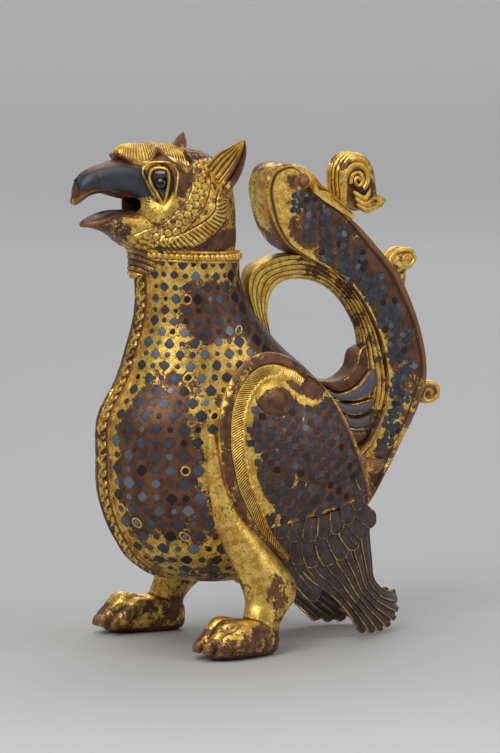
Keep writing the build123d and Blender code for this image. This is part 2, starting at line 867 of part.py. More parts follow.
def volute(points, tail):
    """Small curled leaf on the tail's back."""
    half = VOLUTE_HALF_THICKNESS
    return largest(side_prism(smooth_face(points), -half, half) - tail)


# Lid

def hinge_pin():
    """Pin through the cheeks and the lid's knuckle, with a round head on the left."""
    half = TAIL_HALF_THICKNESS
    shank = pin_cylinder(PIN_RADIUS, -half, half)
    head = pin_cylinder(PIN_HEAD_RADIUS, -half - PIN_HEAD_HEIGHT, -half)
    return shank + head


def filler_lid():
    """Domed leaf over the filling hole, with its knuckle on the pin."""
    half = LEAF_HALF_WIDTH
    start = LEAF_CHEEK_GAP + CHEEK_RADIUS + PIN_X - SEAT_NEAR[0]
    far = np.linalg.norm(np.array(SEAT_FAR) - np.array(SEAT_NEAR))
    low_near = seat_point(start, SEAT_GAP)
    low_far = seat_point(far, SEAT_GAP)
    front_top = (low_near[0] + LEAF_FRONT_LEAN, PIN_Z + LEAF_FRONT_RISE)
    side_view = polygon_face([low_near, low_far, *LEAF_RIDGE[::-1], front_top])
    leaf = side_prism(side_view, -half, half)
    way = seat_direction()
    origin = seat_point(LEAF_DOME_START, SEAT_GAP)
    across = Plane(
        origin=(origin[0], 0, origin[1]), x_dir=(0, 1, 0), z_dir=(way[0], 0, way[1])
    )
    dome = extrude(across * Ellipse(half, LEAF_DOME), far - LEAF_DOME_START * 2)
    leaf = leaf & dome
    knuckle = pin_cylinder(KNUCKLE_RADIUS, -KNUCKLE_HALF_WIDTH, KNUCKLE_HALF_WIDTH)
    reach = KNUCKLE_RADIUS * 2
    under = [
        seat_point(-reach, SEAT_GAP),
        seat_point(far, SEAT_GAP),
        seat_point(far, -reach),
        seat_point(-reach, -reach),
    ]
    knuckle = knuckle - side_prism(polygon_face(under), -half, half)
    neck = [
        (PIN_X, PIN_Z + KNUCKLE_RADIUS),
        (PIN_X, PIN_Z),
        low_near,
        seat_point(start + LEAF_NECK_LENGTH, SEAT_GAP),
        LEAF_RIDGE[0],
    ]
    bridge = side_prism(polygon_face(neck), -KNUCKLE_HALF_WIDTH, KNUCKLE_HALF_WIDTH)
    lid = leaf + knuckle + bridge
    return lid - pin_cylinder(PIN_RADIUS + PIN_CLEARANCE, -half, half)


def thumb_scroll(lid):
    """Big curled leaf that stands on the lid's end."""
    half = SCROLL_HALF_WIDTH
    scroll = side_prism(smooth_face(SCROLL_OUTLINE), -half, half)
    eye = Pos(*SCROLL_EYE) * Circle(SCROLL_EYE_RADIUS)
    for low_y, high_y in ((-half, SCROLL_EYE_DEPTH - half), (half - SCROLL_EYE_DEPTH, half)):
        scroll = scroll - side_prism(eye, low_y, high_y)
    return largest(scroll - lid)


def main():
    outer = vessel_solid()
    duct = duct_solid()
    form = skull() + beak(UPPER_BEAK) + beak(LOWER_BEAK)
    tail = tail_form()
    tail_seated = tail - outer
    skin = wing_form(False) - wing_form(True)
    plates = {side: beak_plate(side) for side in (LEFT, RIGHT)}
    sockets = [eye_pocket(side, EYE_HALF_HEIGHT, EYE_HALF_WIDTH) for side in (LEFT, RIGHT)]
    wings = {side: wing(side, skin, outer, tail_seated) for side in (LEFT, RIGHT)}
    palmette = palmette_solid()
    lid = filler_lid()
    studs = breast_inlays(outer)
    tail_studs = tail_inlays(tail)
    wing_studs = {side: wing_inlays(side, wings[side]) for side in (LEFT, RIGHT)}
    nodes = {
        "body_shell": body_shell(outer, duct, studs),
        "belly_plug": belly_plug(),
        "breast_braid": breast_braid(outer),
        "breast_inlays": studs,
        "pearled_collar": pearled_collar(outer, form),
        "head_shell": head_shell(list(plates.values()) + sockets),
        "brow_crest": brow_crest(form),
        "tail_shell": tail_shell(tail, duct, outer, tail_studs),
        "tail_inlays": tail_studs,
        "tail_root_curls": tail_root_curls(outer, tail_seated, wings),
        "handle_ring": handle_ring(outer, tail_seated, palmette),
        "ring_palmette": ring_palmette(palmette, outer, tail_seated, wings),
        "upper_volute": volute(UPPER_VOLUTE, tail_seated),
        "lower_volute": volute(LOWER_VOLUTE, tail_seated),
        "hinge_pin": hinge_pin(),
        "filler_lid": lid,
        "thumb_scroll": thumb_scroll(lid),
    }
    for name, side in (("left", LEFT), ("right", RIGHT)):
        nodes[name + "_beak_inlay"] = plates[side]
        nodes[name + "_eye_inlay"] = eye_inlay(side, form)
        nodes[name + "_eye_stone"] = eye_stone(side)
        nodes[name + "_ear"] = ear(side, form)
        nodes[name + "_wing"] = wings[side] - wing_studs[side]
        nodes[name + "_wing_inlays"] = wing_studs[side]
        nodes[name + "_leg"] = leg(side, outer, wings[side])
    for name, solid in nodes.items():
        export_step(solid, "parts/" + name + ".step")


main()
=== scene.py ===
import logging
import math
from dataclasses import dataclass, field
from enum import Enum

import bpy
import numpy as np
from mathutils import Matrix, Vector


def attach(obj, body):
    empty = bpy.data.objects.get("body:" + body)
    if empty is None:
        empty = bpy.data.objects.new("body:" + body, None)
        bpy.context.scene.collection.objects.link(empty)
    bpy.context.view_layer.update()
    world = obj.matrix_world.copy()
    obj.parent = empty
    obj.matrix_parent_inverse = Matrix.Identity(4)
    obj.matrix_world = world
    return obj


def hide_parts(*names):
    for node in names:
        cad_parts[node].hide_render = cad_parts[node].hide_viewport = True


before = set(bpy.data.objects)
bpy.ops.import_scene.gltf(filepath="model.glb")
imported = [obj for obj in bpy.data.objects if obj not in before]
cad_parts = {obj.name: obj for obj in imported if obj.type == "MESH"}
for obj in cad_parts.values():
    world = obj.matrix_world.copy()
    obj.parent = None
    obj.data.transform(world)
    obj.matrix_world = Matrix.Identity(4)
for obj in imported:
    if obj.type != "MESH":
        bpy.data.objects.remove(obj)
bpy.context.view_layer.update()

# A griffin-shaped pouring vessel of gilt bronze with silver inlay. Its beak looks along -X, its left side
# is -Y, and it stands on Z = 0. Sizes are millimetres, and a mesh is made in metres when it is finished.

MM = 0.001
LEFT, RIGHT = -1, 1
SIDES = {"left": LEFT, "right": RIGHT}
LOG = logging.getLogger("vessel")
Array = np.ndarray
Rows = tuple[tuple[float, ...], ...]


def ease(x: Array, low: float, high: float) -> Array:
    """Smooth step from nought at low to one at high."""
    t = np.clip((x - low) / (high - low), 0.0, 1.0)
    return t * t * (3 - 2 * t)


def ridge(x: Array, centre: float, half: float) -> Array:
    """Round ridge: root of one minus the squared share of its half width, and nought outside."""
    return np.sqrt(np.clip(1 - ((x - centre) / half) ** 2, 0.0, 1.0))


def blob(x: Array, y: Array, patch: tuple[float, float, float, float]) -> Array:
    """Bell-shaped patch with a centre and two reaches: e to the minus squared distance."""
    return np.exp(-(((x - patch[0]) / patch[2]) ** 2) - ((y - patch[1]) / patch[3]) ** 2)


def unit(vectors: Array) -> Array:
    """Vectors scaled to a length of one."""
    return vectors / np.maximum(np.linalg.norm(vectors, axis=-1, keepdims=True), 1e-9)


def hermite(rows: Rows | Array, at: Array) -> Array:
    """Smooth curve through a table's rows.

    Each span is the cubic that meets its two rows with the slopes that centred differences give them.

    Args:
        rows: place first, then the values there.
        at: places of any shape.

    Returns:
        Values, with one more axis than the places.
    """
    table = np.asarray(rows, float)
    places, values = table[:, 0], table[:, 1:]
    slopes = np.gradient(values, places, axis=0)
    at = np.asarray(at, float)
    i = np.clip(np.searchsorted(places, at) - 1, 0, len(places) - 2)
    step = (places[i + 1] - places[i])[..., None]
    t = np.clip((at - places[i])[..., None] / step, 0.0, 1.0)
    first = (1 + 2 * t) * (1 - t) ** 2 * values[i] + t * (1 - t) ** 2 * step * slopes[i]
    return first + t * t * (3 - 2 * t) * values[i + 1] + t * t * (t - 1) * step * slopes[i + 1]


def curve(points: Rows | Array, count: int) -> Array:
    """Evenly spaced samples of a smooth curve through points, in two or three dimensions."""
    p = np.asarray(points, float)
    chord = np.concatenate([[0.0], np.cumsum(np.linalg.norm(np.diff(p, axis=0), axis=1))])
    dense = hermite(np.column_stack([chord, p]), np.linspace(0, chord[-1], count * 6))
    length = np.concatenate([[0.0], np.cumsum(np.linalg.norm(np.diff(dense, axis=0), axis=1))])
    even = np.linspace(0, length[-1], count)
    return np.stack([np.interp(even, length, column) for column in dense.T], axis=-1)


def loop(count: int, power: float = 2.0) -> tuple[Array, Array]:
    """Closed outline |x|^power + |y|^power = 1, as its two coordinates."""
    turn = np.linspace(0, 2 * np.pi, count, endpoint=False)
    c, s = np.cos(turn), np.sin(turn)
    return np.sign(c) * np.abs(c) ** (2 / power), np.sign(s) * np.abs(s) ** (2 / power)


def closed_curve(points: Rows | Array, count: int) -> Array:
    """Evenly spaced samples of a smooth closed curve through points."""
    p = np.asarray(points, float)
    wide = np.concatenate([p[-3:], p, p[:4]])
    chord = np.concatenate([[0.0], np.cumsum(np.linalg.norm(np.diff(wide, axis=0), axis=1))])
    at = np.linspace(chord[3], chord[3 + len(p)], count * 6)
    dense = hermite(np.column_stack([chord, wide]), at)
    length = np.concatenate([[0.0], np.cumsum(np.linalg.norm(np.diff(dense, axis=0), axis=1))])
    even = np.linspace(0, length[-1], count + 1)[:-1]
    return np.stack([np.interp(even, length, column) for column in dense.T], axis=-1)


def distance_to(flat: Array, line: Array) -> Array:
    """Distance from places (..., 2) to the nearest sample of a line."""
    return np.linalg.norm(flat[..., None, :] - line, axis=-1).min(-1)


def pillow(outline: Array, half: float, rows: int = 9, power: float = 2.0) -> Array:
    """Cushion over a closed outline in the X-Z plane.

    The outline shrinks towards its middle as Y leaves the middle plane, so that the rim is round.

    Args:
        outline: points (x, z).
        half: half thickness along Y.
        rows: rows from the middle plane to each crown.
        power: 2 for a round crown, more for a flat one.

    Returns:
        Grid of points.
    """
    turn = np.linspace(-np.pi / 2, np.pi / 2, rows * 2 + 1)
    share = np.maximum(np.abs(np.cos(turn)) ** (2 / power), 0.04)[:, None, None]
    y = half * np.sign(np.sin(turn)) * np.abs(np.sin(turn)) ** (2 / power)
    middle = outline.mean(0)
    flat = middle + (outline - middle)[None] * share
    return np.stack([flat[..., 0], np.broadcast_to(y[:, None], flat.shape[:2]), flat[..., 1]], axis=-1)


def tube(path: Array, radius: Array | float, sides: int = 12, reference: tuple = (0, 1, 0)) -> Array:
    """Round rod: circles of a radius, square to a path and turned by a reference direction."""
    along = unit(np.gradient(path, axis=0))
    across = unit(np.cross(along, np.asarray(reference, float)))
    up = np.cross(across, along)
    c, s = loop(sides)
    wide = np.broadcast_to(radius, len(path))[:, None, None]
    return path[:, None] + wide * (c[None, :, None] * across[:, None] + s[None, :, None] * up[:, None])


def strap(path: Array, half_width: Array, half_thick: Array, sides: int, ribs: int, rib: float) -> Array:
    """Flat band in the X-Z plane, carried along a path there.

    Its section is a flattened outline with a power of 3, wide along Y, with cosine ribs on both broad faces.

    Args:
        path: points (x, z) of the band's middle.
        half_width: half size along Y at each point.
        half_thick: half thickness square to the path.
        sides: points around the section.
        ribs: ribs across the width.
        rib: height of a rib.

    Returns:
        Grid of points.
    """
    along = unit(np.gradient(path, axis=0))
    normal = np.stack([-along[:, 1], along[:, 0]], axis=-1)
    c, s = loop(sides, 3.0)
    swell = rib * np.cos(ribs * np.pi * c) * np.abs(s)
    out = np.broadcast_to(half_thick, len(path))[:, None] * s + np.sign(s) * swell
    wide = np.broadcast_to(half_width, len(path))[:, None] * c
    x = path[:, :1] + normal[:, :1] * out
    z = path[:, 1:] + normal[:, 1:] * out
    return np.stack([x, np.broadcast_to(wide, x.shape), z], axis=-1)


def ring_quads(rows: int, columns: int, ring: bool) -> Array:
    """Faces of a grid whose columns go round, with ladder caps on both ends unless its rows go round too."""
    i, j = np.meshgrid(np.arange(rows if ring else rows - 1), np.arange(columns), indexing="ij")
    after = (i + 1) % rows
    beside = (j + 1) % columns
    corners = [i * columns + j, i * columns + beside, after * columns + beside, after * columns + j]
    sides = np.stack(corners, -1).reshape(-1, 4)
    if ring:
        return sides
    rung = np.arange(columns // 2 - 1)
    first = np.stack([rung + 1, rung, columns - 1 - rung, columns - 2 - rung], -1)
    return np.concatenate([sides, first, first[:, ::-1] + (rows - 1) * columns])


class Shells:
    """Closed shells gathered for one mesh, with named values at their points."""

    def __init__(self) -> None:
        """Starts with no shell."""
        self.points: list[Array] = []
        self.faces: list[Array] = []
        self.values: list[dict[str, Array]] = []
        self.total = 0

    def add(self, points: Array, ring: bool = False, **values: Array | float) -> None:
        """Adds one shell, or a stack of alike ones, turned outwards by the sign of its volume.

        Args:
            points: grid (rows, columns, 3), or a stack of such grids, whose columns go round.
            ring: whether the rows go round too.
            values: named values that fit the grid.
        """
        grid = points if points.ndim == 4 else points[None]
        count, rows, columns, _ = grid.shape
        quads = ring_quads(rows, columns, ring)
        corners = grid.reshape(count, -1, 3)[:, quads]
        area = np.cross(corners[:, :, 2] - corners[:, :, 0], corners[:, :, 3] - corners[:, :, 1])
        volume = (area * (corners.mean(2) - grid.mean((1, 2))[:, None])).sum((1, 2))
        faces = np.where(volume[:, None, None] < 0, quads[None, :, ::-1], quads[None])
        start = self.total + np.arange(count) * rows * columns
        self.faces.append((faces + start[:, None, None]).reshape(-1, 4))
        self.points.append(grid.reshape(-1, 3))
        flat = {key: np.broadcast_to(value, grid.shape[:3]).reshape(-1) for key, value in values.items()}
        self.values.append(flat)
        self.total += count * rows * columns

    def mirrored(self) -> "Shells":
        """The same shells on the other side of the middle plane."""
        twin = Shells()
        twin.points = [p * (1, -1, 1) for p in self.points]
        twin.faces = [f[:, ::-1] for f in self.faces]
        twin.values = self.values
        twin.total = self.total
        return twin

    def mesh(self, name: str) -> bpy.types.Mesh:
        """Makes the mesh in metres, with each value as a point attribute."""
        mesh = bpy.data.meshes.new(name)
        mesh.from_pydata((np.concatenate(self.points) * MM).tolist(), [], np.concatenate(self.faces).tolist())
        mesh.update()
        keys = sorted({key for flat in self.values for key in flat})
        sizes = [len(p) for p in self.points]
        for key in keys:
            parts = [flat.get(key, np.zeros(size)) for flat, size in zip(self.values, sizes)]
            store(mesh, key, np.concatenate(parts))
        return mesh


def store(mesh: bpy.types.Mesh, key: str, values: Array) -> None:
    """Writes one value per point as an attribute."""
    layer = mesh.attributes.get(key) or mesh.attributes.new(key, "FLOAT", "POINT")
    layer.data.foreach_set("value", np.ascontiguousarray(values, np.float32))


def lay_on(mesh: bpy.types.Mesh, flat: Array, view: tuple, proud: Array | float) -> Array:
    """Lays places of a flat view on the side of a mesh that faces it.

    The depth at a place is the mean of its six nearest points that face the view, weighted by nearness.

    Args:
        mesh: the mesh to lie on.
        flat: places (rows, columns, 2) in the view.
        view: the view's origin, its two axes and the direction that it is seen from.
        proud: how far out of the mesh to lie.

    Returns:
        Points (rows, columns, 3).
    """
    origin, first, second, facing = (np.asarray(v, float) for v in view)
    points, normals = points_of(mesh)
    cloud = (points - origin)[normals @ facing > 0.12]
    seen = np.stack([cloud @ first, cloud @ second], axis=-1)
    low, high = flat.reshape(-1, 2).min(0) - 1.0, flat.reshape(-1, 2).max(0) + 1.0
    near = ((seen > low) & (seen < high)).all(1)
    seen, depth = seen[near].astype(np.float32), (cloud @ facing)[near]
    rows = []
    for row in flat.astype(np.float32):
        away = (row[:, None, 0] - seen[None, :, 0]) ** 2 + (row[:, None, 1] - seen[None, :, 1]) ** 2
        nearest = np.argpartition(away, 6, axis=1)[:, :6]
        weight = 1 / (np.take_along_axis(away, nearest, 1) + 0.02)
        rows.append((depth[nearest] * weight).sum(1) / weight.sum(1))
    deep = np.array(rows) + proud
    return origin + flat[..., :1] * first + flat[..., 1:] * second + deep[..., None] * facing


def side_view(side: int) -> tuple:
    """The view of X and Z from one side."""
    return ((0, 0, 0), (1, 0, 0), (0, 0, 1), (0, side, 0))


def points_of(mesh: bpy.types.Mesh) -> tuple[Array, Array]:
    """A mesh's points in millimetres and its normals."""
    points = np.empty(len(mesh.vertices) * 3)
    normals = np.empty(len(mesh.vertices) * 3)
    mesh.vertices.foreach_get("co", points)
    mesh.vertex_normals.foreach_get("vector", normals)
    return points.reshape(-1, 3) / MM, normals.reshape(-1, 3)


def set_points(mesh: bpy.types.Mesh, points: Array) -> None:
    """Moves a mesh's points to places in millimetres."""
    mesh.vertices.foreach_set("co", np.ascontiguousarray(points * MM, np.float32).reshape(-1))
    mesh.update()


def measure_relief(mesh: bpy.types.Mesh, rounds: int = 8, height: float = 0.16) -> None:
    """Stores how far each point stands over its surroundings, from -1 in a groove to 1 on a ridge.

    The surroundings are the mean of a point's neighbours along the edges, taken several times over.

    Args:
        mesh: the finished mesh.
        rounds: how many times the mean is taken.
        height: height in millimetres that counts as one.
    """
    points, normals = points_of(mesh)
    edges = np.empty(len(mesh.edges) * 2, np.int64)
    mesh.edges.foreach_get("vertices", edges)
    a, b = edges.reshape(-1, 2).T
    ends, others = np.concatenate([a, b]), np.concatenate([b, a])
    degree = np.maximum(np.bincount(ends, minlength=len(points)), 1)[:, None]
    smooth = points
    for _ in range(rounds):
        sums = [np.bincount(ends, smooth[others, k], minlength=len(points)) for k in range(3)]
        smooth = 0.5 * smooth + 0.5 * np.stack(sums, axis=-1) / degree
    store(mesh, "relief", np.clip(((points - smooth) * normals).sum(1) / height, -1.0, 1.0))


def evaluated(rough: bpy.types.Object) -> bpy.types.Mesh:
    """The mesh that an object's modifiers give, and the object is removed."""
    bpy.context.view_layer.update()
    mesh = bpy.data.meshes.new_from_object(rough.evaluated_get(bpy.context.evaluated_depsgraph_get()))
    bpy.data.objects.remove(rough)
    return mesh


def placed(mesh: bpy.types.Mesh) -> bpy.types.Object:
    """An object for a mesh, in the scene."""
    obj = bpy.data.objects.new(mesh.name, mesh)
    bpy.context.scene.collection.objects.link(obj)
    return obj


def one_skin(shells: Shells, name: str, voxel: float, rounds: int) -> bpy.types.Mesh:
    """One skin round overlapping shells, with its creases softened.

    Args:
        shells: overlapping closed shells.
        name: the mesh's name.
        voxel: size of the grid that the skin is found on.
        rounds: rounds of smoothing.

    Returns:
        The mesh, with no values yet.
    """
    rough = placed(shells.mesh(name + "_rough"))
    remesh = rough.modifiers.new("skin", "REMESH")
    remesh.mode = "VOXEL"
    remesh.voxel_size = voxel * MM
    soften = rough.modifiers.new("soften", "SMOOTH")
    soften.factor = 0.5
    soften.iterations = rounds
    mesh = evaluated(rough)
    mesh.name = name
    return mesh


def without(mesh: bpy.types.Mesh, cutter: Shells) -> bpy.types.Mesh:
    """A mesh with the space of some shells cut out of it."""
    body = placed(mesh)
    tool = placed(cutter.mesh(mesh.name + "_cutter"))
    cut = body.modifiers.new("cut", "BOOLEAN")
    cut.operation = "DIFFERENCE"
    cut.solver = "EXACT"
    cut.object = tool
    result = evaluated(body)
    bpy.data.objects.remove(tool)
    result.name = mesh.name
    return result


class Slot(Enum):
    """The record's material slots."""

    GILT = "gilt_bronze"
    ORNAMENT = "gilt_ornament"
    BARE = "bare_bronze"
    SILVER = "silver_inlay"
    EYE = "eye_plate"
    STONE = "eye_stone"


class Body(Enum):
    """The bodies that pieces ride on."""

    VESSEL = "root"
    LID = "lid"


def finish_piece(
    name: str,
    mesh: bpy.types.Mesh,
    material: bpy.types.Material,
    replaced: tuple[str, ...] = (),
    body: Body = Body.VESSEL,
    sharp: float = 60.0,
) -> bpy.types.Object:
    """Names, shades, dresses and hangs a piece on its body.

    Args:
        name: the piece's name.
        mesh: its finished mesh.
        material: its finish.
        replaced: CAD nodes that it stands for.
        body: the body that it rides on.
        sharp: edges with a sharper turn than this many degrees stay hard.

    Returns:
        The object.
    """
    mesh.name = name
    measure_relief(mesh)
    mesh.shade_smooth()
    mesh.set_sharp_from_angle(angle=math.radians(sharp))
    mesh.materials.clear()
    mesh.materials.append(material)
    piece = placed(mesh)
    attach(piece, body.value)
    if replaced:
        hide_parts(*replaced)
    LOG.info("%s: %d faces", name, len(mesh.polygons))
    return piece


class Wire:
    """A node's output socket, with arithmetic that adds Math nodes."""

    def __init__(self, graph: "Graph", socket: bpy.types.NodeSocket) -> None:
        """Holds the socket and the graph that it is in."""
        self.graph = graph
        self.socket = socket

    def math(self, operation: str, other: "Wire | float", swapped: bool = False) -> "Wire":
        """Adds a Math node on this wire and another value."""
        first, second = (other, self) if swapped else (self, other)
        return self.graph.node("ShaderNodeMath", {"operation": operation}, {0: first, 1: second})

    def __add__(self, other: "Wire | float") -> "Wire":
        """Sum."""
        return self.math("ADD", other)

    def __radd__(self, other: float) -> "Wire":
        """Sum."""
        return self.math("ADD", other)

    def __sub__(self, other: "Wire | float") -> "Wire":
        """Difference."""
        return self.math("SUBTRACT", other)

    def __rsub__(self, other: float) -> "Wire":
        """Difference from a number."""
        return self.math("SUBTRACT", other, True)

    def __mul__(self, other: "Wire | float") -> "Wire":
        """Product."""
        return self.math("MULTIPLY", other)

    def __rmul__(self, other: float) -> "Wire":
        """Product."""
        return self.math("MULTIPLY", other)


class Graph:
    """A material's nodes."""

    def __init__(self, name: str) -> None:
        """Makes the material, with the principled shader that it comes with."""
        self.material = bpy.data.materials.new(name)
        self.material.use_nodes = True
        self.tree = self.material.node_tree
        self.shader = self.tree.nodes["Principled BSDF"]
        self.place = self.node("ShaderNodeTexCoord", {}, {}, "Object")

    def node(self, kind: str, settings: dict, inputs: dict, output: str | int = 0) -> Wire:
        """Adds a node.

        Args:
            kind: the node's type.
            settings: its properties, and a ramp's stops as (place, colour) pairs.
            inputs: values or wires by socket name or number.
            output: the socket that the wire holds.

        Returns:
            The wire of that output.
        """
        node = self.tree.nodes.new(kind)
        for key, value in settings.items():
            if key == "stops":
                self._set_stops(node, value)
            else:
                setattr(node, key, value)
        for key, value in inputs.items():
            self.feed(node.inputs[key], value)
        return Wire(self, node.outputs[output])

    @staticmethod
    def _set_stops(node: bpy.types.Node, stops: Rows) -> None:
        """Sets a colour ramp's stops."""
        ramp = node.color_ramp
        while len(ramp.elements) < len(stops):
            ramp.elements.new(0.5)
        for element, (place, colour) in zip(ramp.elements, stops):
            element.position = place
            element.color = (*colour, 1.0)

    def feed(self, socket: bpy.types.NodeSocket, value: object) -> None:
        """Links a wire to a socket, or sets a constant on it."""
        if isinstance(value, Wire):
            self.tree.links.new(value.socket, socket)
        elif isinstance(value, tuple) and socket.type == "RGBA":
            socket.default_value = (*value, 1.0)
        else:
            socket.default_value = value

    def noise(self, size: float, detail: float = 3.0, rough: float = 0.5, warp: float = 0.0) -> Wire:
        """Noise whose features are about a size in millimetres."""
        settings = {"noise_dimensions": "3D"}
        inputs = {"Vector": self.place, "Scale": 1 / (size * MM), "Detail": detail}
        inputs.update({"Roughness": rough, "Distortion": warp})
        return self.node("ShaderNodeTexNoise", settings, inputs)

    def cells(self, size: float, feature: str = "F1") -> Wire:
        """Distance to the nearest of random points about a size in millimetres apart."""
        inputs = {"Vector": self.place, "Scale": 1 / (size * MM)}
        return self.node("ShaderNodeTexVoronoi", {"feature": feature}, inputs)

    def value(self, key: str) -> Wire:
        """A value stored at the mesh's points."""
        return self.node("ShaderNodeAttribute", {"attribute_name": key}, {}, "Fac")

    def step(self, wire: Wire, low: float, high: float) -> Wire:
        """Smooth step from nought at low to one at high."""
        settings = {"interpolation_type": "SMOOTHSTEP"}
        return self.node("ShaderNodeMapRange", settings, {0: wire, 1: low, 2: high})

    def mix(self, share: Wire | float, first: object, second: object, how: str = "MIX") -> Wire:
        """Mixes two colours."""
        settings = {"data_type": "RGBA", "blend_type": how}
        return self.node("ShaderNodeMix", settings, {0: share, 6: first, 7: second}, 2)

    def bump(self, height: Wire, depth: float, strength: float = 1.0) -> Wire:
        """Normal tilted by a height, in millimetres where the height is one."""
        inputs = {"Height": height, "Distance": depth * MM, "Strength": strength}
        return self.node("ShaderNodeBump", {}, inputs)

    def finish(self, sockets: dict) -> bpy.types.Material:
        """Feeds the principled shader and gives the material."""
        for key, value in sockets.items():
            self.feed(self.shader.inputs[key], value)
        return self.material


def srgb(red: float, green: float, blue: float) -> tuple[float, float, float]:
    """A screen colour of 0 to 255 as linear light."""
    channels = [c / 255 for c in (red, green, blue)]
    return tuple(c / 12.92 if c <= 0.04045 else ((c + 0.055) / 1.055) ** 2.4 for c in channels)


@dataclass(frozen=True)
class Gilding:
    """Worn fire gilding over brown bronze: gold where the piece's value gilt is high."""

    name: str
    gold: tuple = srgb(250, 212, 112)
    deep_gold: tuple = srgb(204, 152, 62)
    brown: tuple = srgb(120, 80, 52)
    dark: tuple = srgb(64, 42, 30)
    copper: tuple = srgb(160, 112, 72)
    slate: tuple = srgb(96, 96, 102)
    wear: float = 0.10
    ragged: float = 1.15
    patch_size: float = 7.0
    pit_amount: float = 0.7
    # Painted shade in grooves: its strength, then the depths over which it comes in
    groove_shade: float = 0.9
    groove_depth: tuple = (0.04, 0.5)
    pit_edge: float = 0.58
    gold_roughness: float = 0.33
    brown_roughness: float = 0.42

    def make(self) -> bpy.types.Material:
        """Builds the material: a score of gilt, noise and relief chooses gold or brown at each place, and grooves and
        the mouth's hollow are darkened as painted shade.
        """
        g = Graph(self.name)
        relief = g.value("relief")
        raised = relief.math("MAXIMUM", 0.0)
        sunk = (relief * -1.0).math("MAXIMUM", 0.0)
        fine = g.noise(1.5, 8.0, 0.78, 0.5)
        patches = (g.noise(self.patch_size, 6.0, 0.66) - 0.5) * 1.5
        score = g.value("gilt") + patches + (fine - 0.5) * self.ragged
        score = score - raised * self.wear
        pits = g.step(g.noise(0.55, 2.0, 0.6, 0.8), self.pit_edge, self.pit_edge + 0.06) * self.pit_amount
        gold = g.step(score, 0.46, 0.53) * (1 - pits)
        yellow = g.mix(g.step(g.noise(2.8, 4.0, 0.7), 0.34, 0.62), self.deep_gold, self.gold)
        earth = g.mix(g.step(g.noise(4.0, 6.0, 0.7), 0.30, 0.66), self.dark, self.brown)
        earth = g.mix(g.step(raised, 0.15, 0.7) * 0.6, earth, self.copper)
        earth = g.mix(g.value("silver"), earth, self.slate)
        colour = g.mix(gold, earth, yellow)
        # Painted shade: grooves and hollows are mixed towards the dark brown
        colour = g.mix(g.step(sunk, *self.groove_depth) * self.groove_shade, colour, self.dark)
        # Painted shade: the mouth's hollow is painted near black, matte and less metallic, where only shade falls
        soot = g.value("soot")
        colour = g.mix(soot, colour, srgb(20, 17, 17))
        rough = self.brown_roughness - gold * (self.brown_roughness - self.gold_roughness)
        rough = rough + (fine - 0.5) * 0.2 + soot * 0.2
        metal = (0.5 + gold * 0.42) * (1 - soot * 0.8)
        height = gold * 0.4 + fine * 0.9 + g.noise(4.0, 3.0) * 1.2 - pits * 0.9
        sockets = {"Base Color": colour, "Roughness": rough, "Metallic": metal}
        sockets["Normal"] = g.bump(height, 0.12, 0.85)
        return g.finish(sockets)


@dataclass(frozen=True)
class Silver:
    """Tarnished silver plates with black niello edges, a little different from plate to plate."""

    name: str
    pale: tuple = srgb(112, 119, 129)
    slate: tuple = srgb(62, 65, 73)
    black: tuple = srgb(28, 26, 29)
    lost: tuple = srgb(38, 26, 21)
    metallic: float = 0.40
    roughness: float = 0.42

    def make(self) -> bpy.types.Material:
        """Builds the material: the value tone picks pale, slate or lost, and edge darkens the rim."""
        g = Graph(self.name)
        tone = g.value("tone")
        cloud = tone + (g.noise(1.6, 4.0, 0.65) - 0.5) * 0.55
        colour = g.mix(g.step(cloud, 0.40, 1.0), self.slate, self.pale)
        colour = g.mix(1 - g.step(cloud, -0.25, 0.2), colour, self.black)
        colour = g.mix(1 - g.step(tone, -0.8, -0.4), colour, self.lost)
        scratch = g.step(g.noise(0.7, 3.0, 0.6, 1.5), 0.60, 0.72)
        colour = g.mix(scratch * 0.35, colour, self.black)
        colour = g.mix(g.value("edge") * 0.55, colour, self.black)
        rough = self.roughness + (g.noise(0.9, 3.0) - 0.5) * 0.3
        sockets = {"Base Color": colour, "Roughness": rough}
        sockets["Normal"] = g.bump(g.noise(0.8, 4.0, 0.6), 0.05, 0.7)
        material = g.finish(sockets)
        g.shader.inputs["Metallic"].default_value = self.metallic
        return material


@dataclass(frozen=True)
class Glass:
    """Polished dark stone or paste of the eye."""

    name: str
    colour: tuple
    light: tuple
    roughness: float = 0.12

    def make(self) -> bpy.types.Material:
        """Builds the material: two dark colours clouded by noise under a glossy coat."""
        g = Graph(self.name)
        cloud = g.step(g.noise(1.8, 4.0, 0.6), 0.35, 0.7)
        sockets = {"Base Color": g.mix(cloud, self.colour, self.light)}
        sockets["Roughness"] = self.roughness + (g.noise(0.6) - 0.5) * 0.1
        material = g.finish(sockets)
        g.shader.inputs["Coat Weight"].default_value = 0.6
        g.shader.inputs["Coat Roughness"].default_value = 0.08
        return material


@dataclass
class Finishes:
    """Every finish of the vessel."""

    gilt: bpy.types.Material = field(default_factory=lambda: Gilding("worn_gilding").make())
    ornament: bpy.types.Material = field(
        default_factory=lambda: Gilding("chased_gilding", pit_amount=0.35, patch_size=5.0, wear=-0.1, ragged=0.8).make()
    )
    bare: bpy.types.Material = field(
        default_factory=lambda: Gilding("brown_bronze", patch_size=9.0, wear=-0.15, pit_amount=0.2, ragged=0.9).make()
    )
    feathers: bpy.types.Material = field(
        default_factory=lambda: Gilding(
            "feather_niello",
            brown=srgb(94, 79, 75),
            dark=srgb(62, 50, 48),
            copper=srgb(120, 92, 68),
            slate=srgb(70, 72, 80),
            wear=-0.15,
            ragged=0.9,
            patch_size=14.0,
        ).make()
    )
    silver: bpy.types.Material = field(default_factory=lambda: Silver("tarnished_silver").make())
    garnet: bpy.types.Material = field(
        default_factory=lambda: Glass("garnet", srgb(46, 30, 32), srgb(72, 50, 48)).make()
    )
    bead: bpy.types.Material = field(
        default_factory=lambda: Glass("black_bead", srgb(12, 11, 13), srgb(24, 22, 24), 0.06).make()
    )


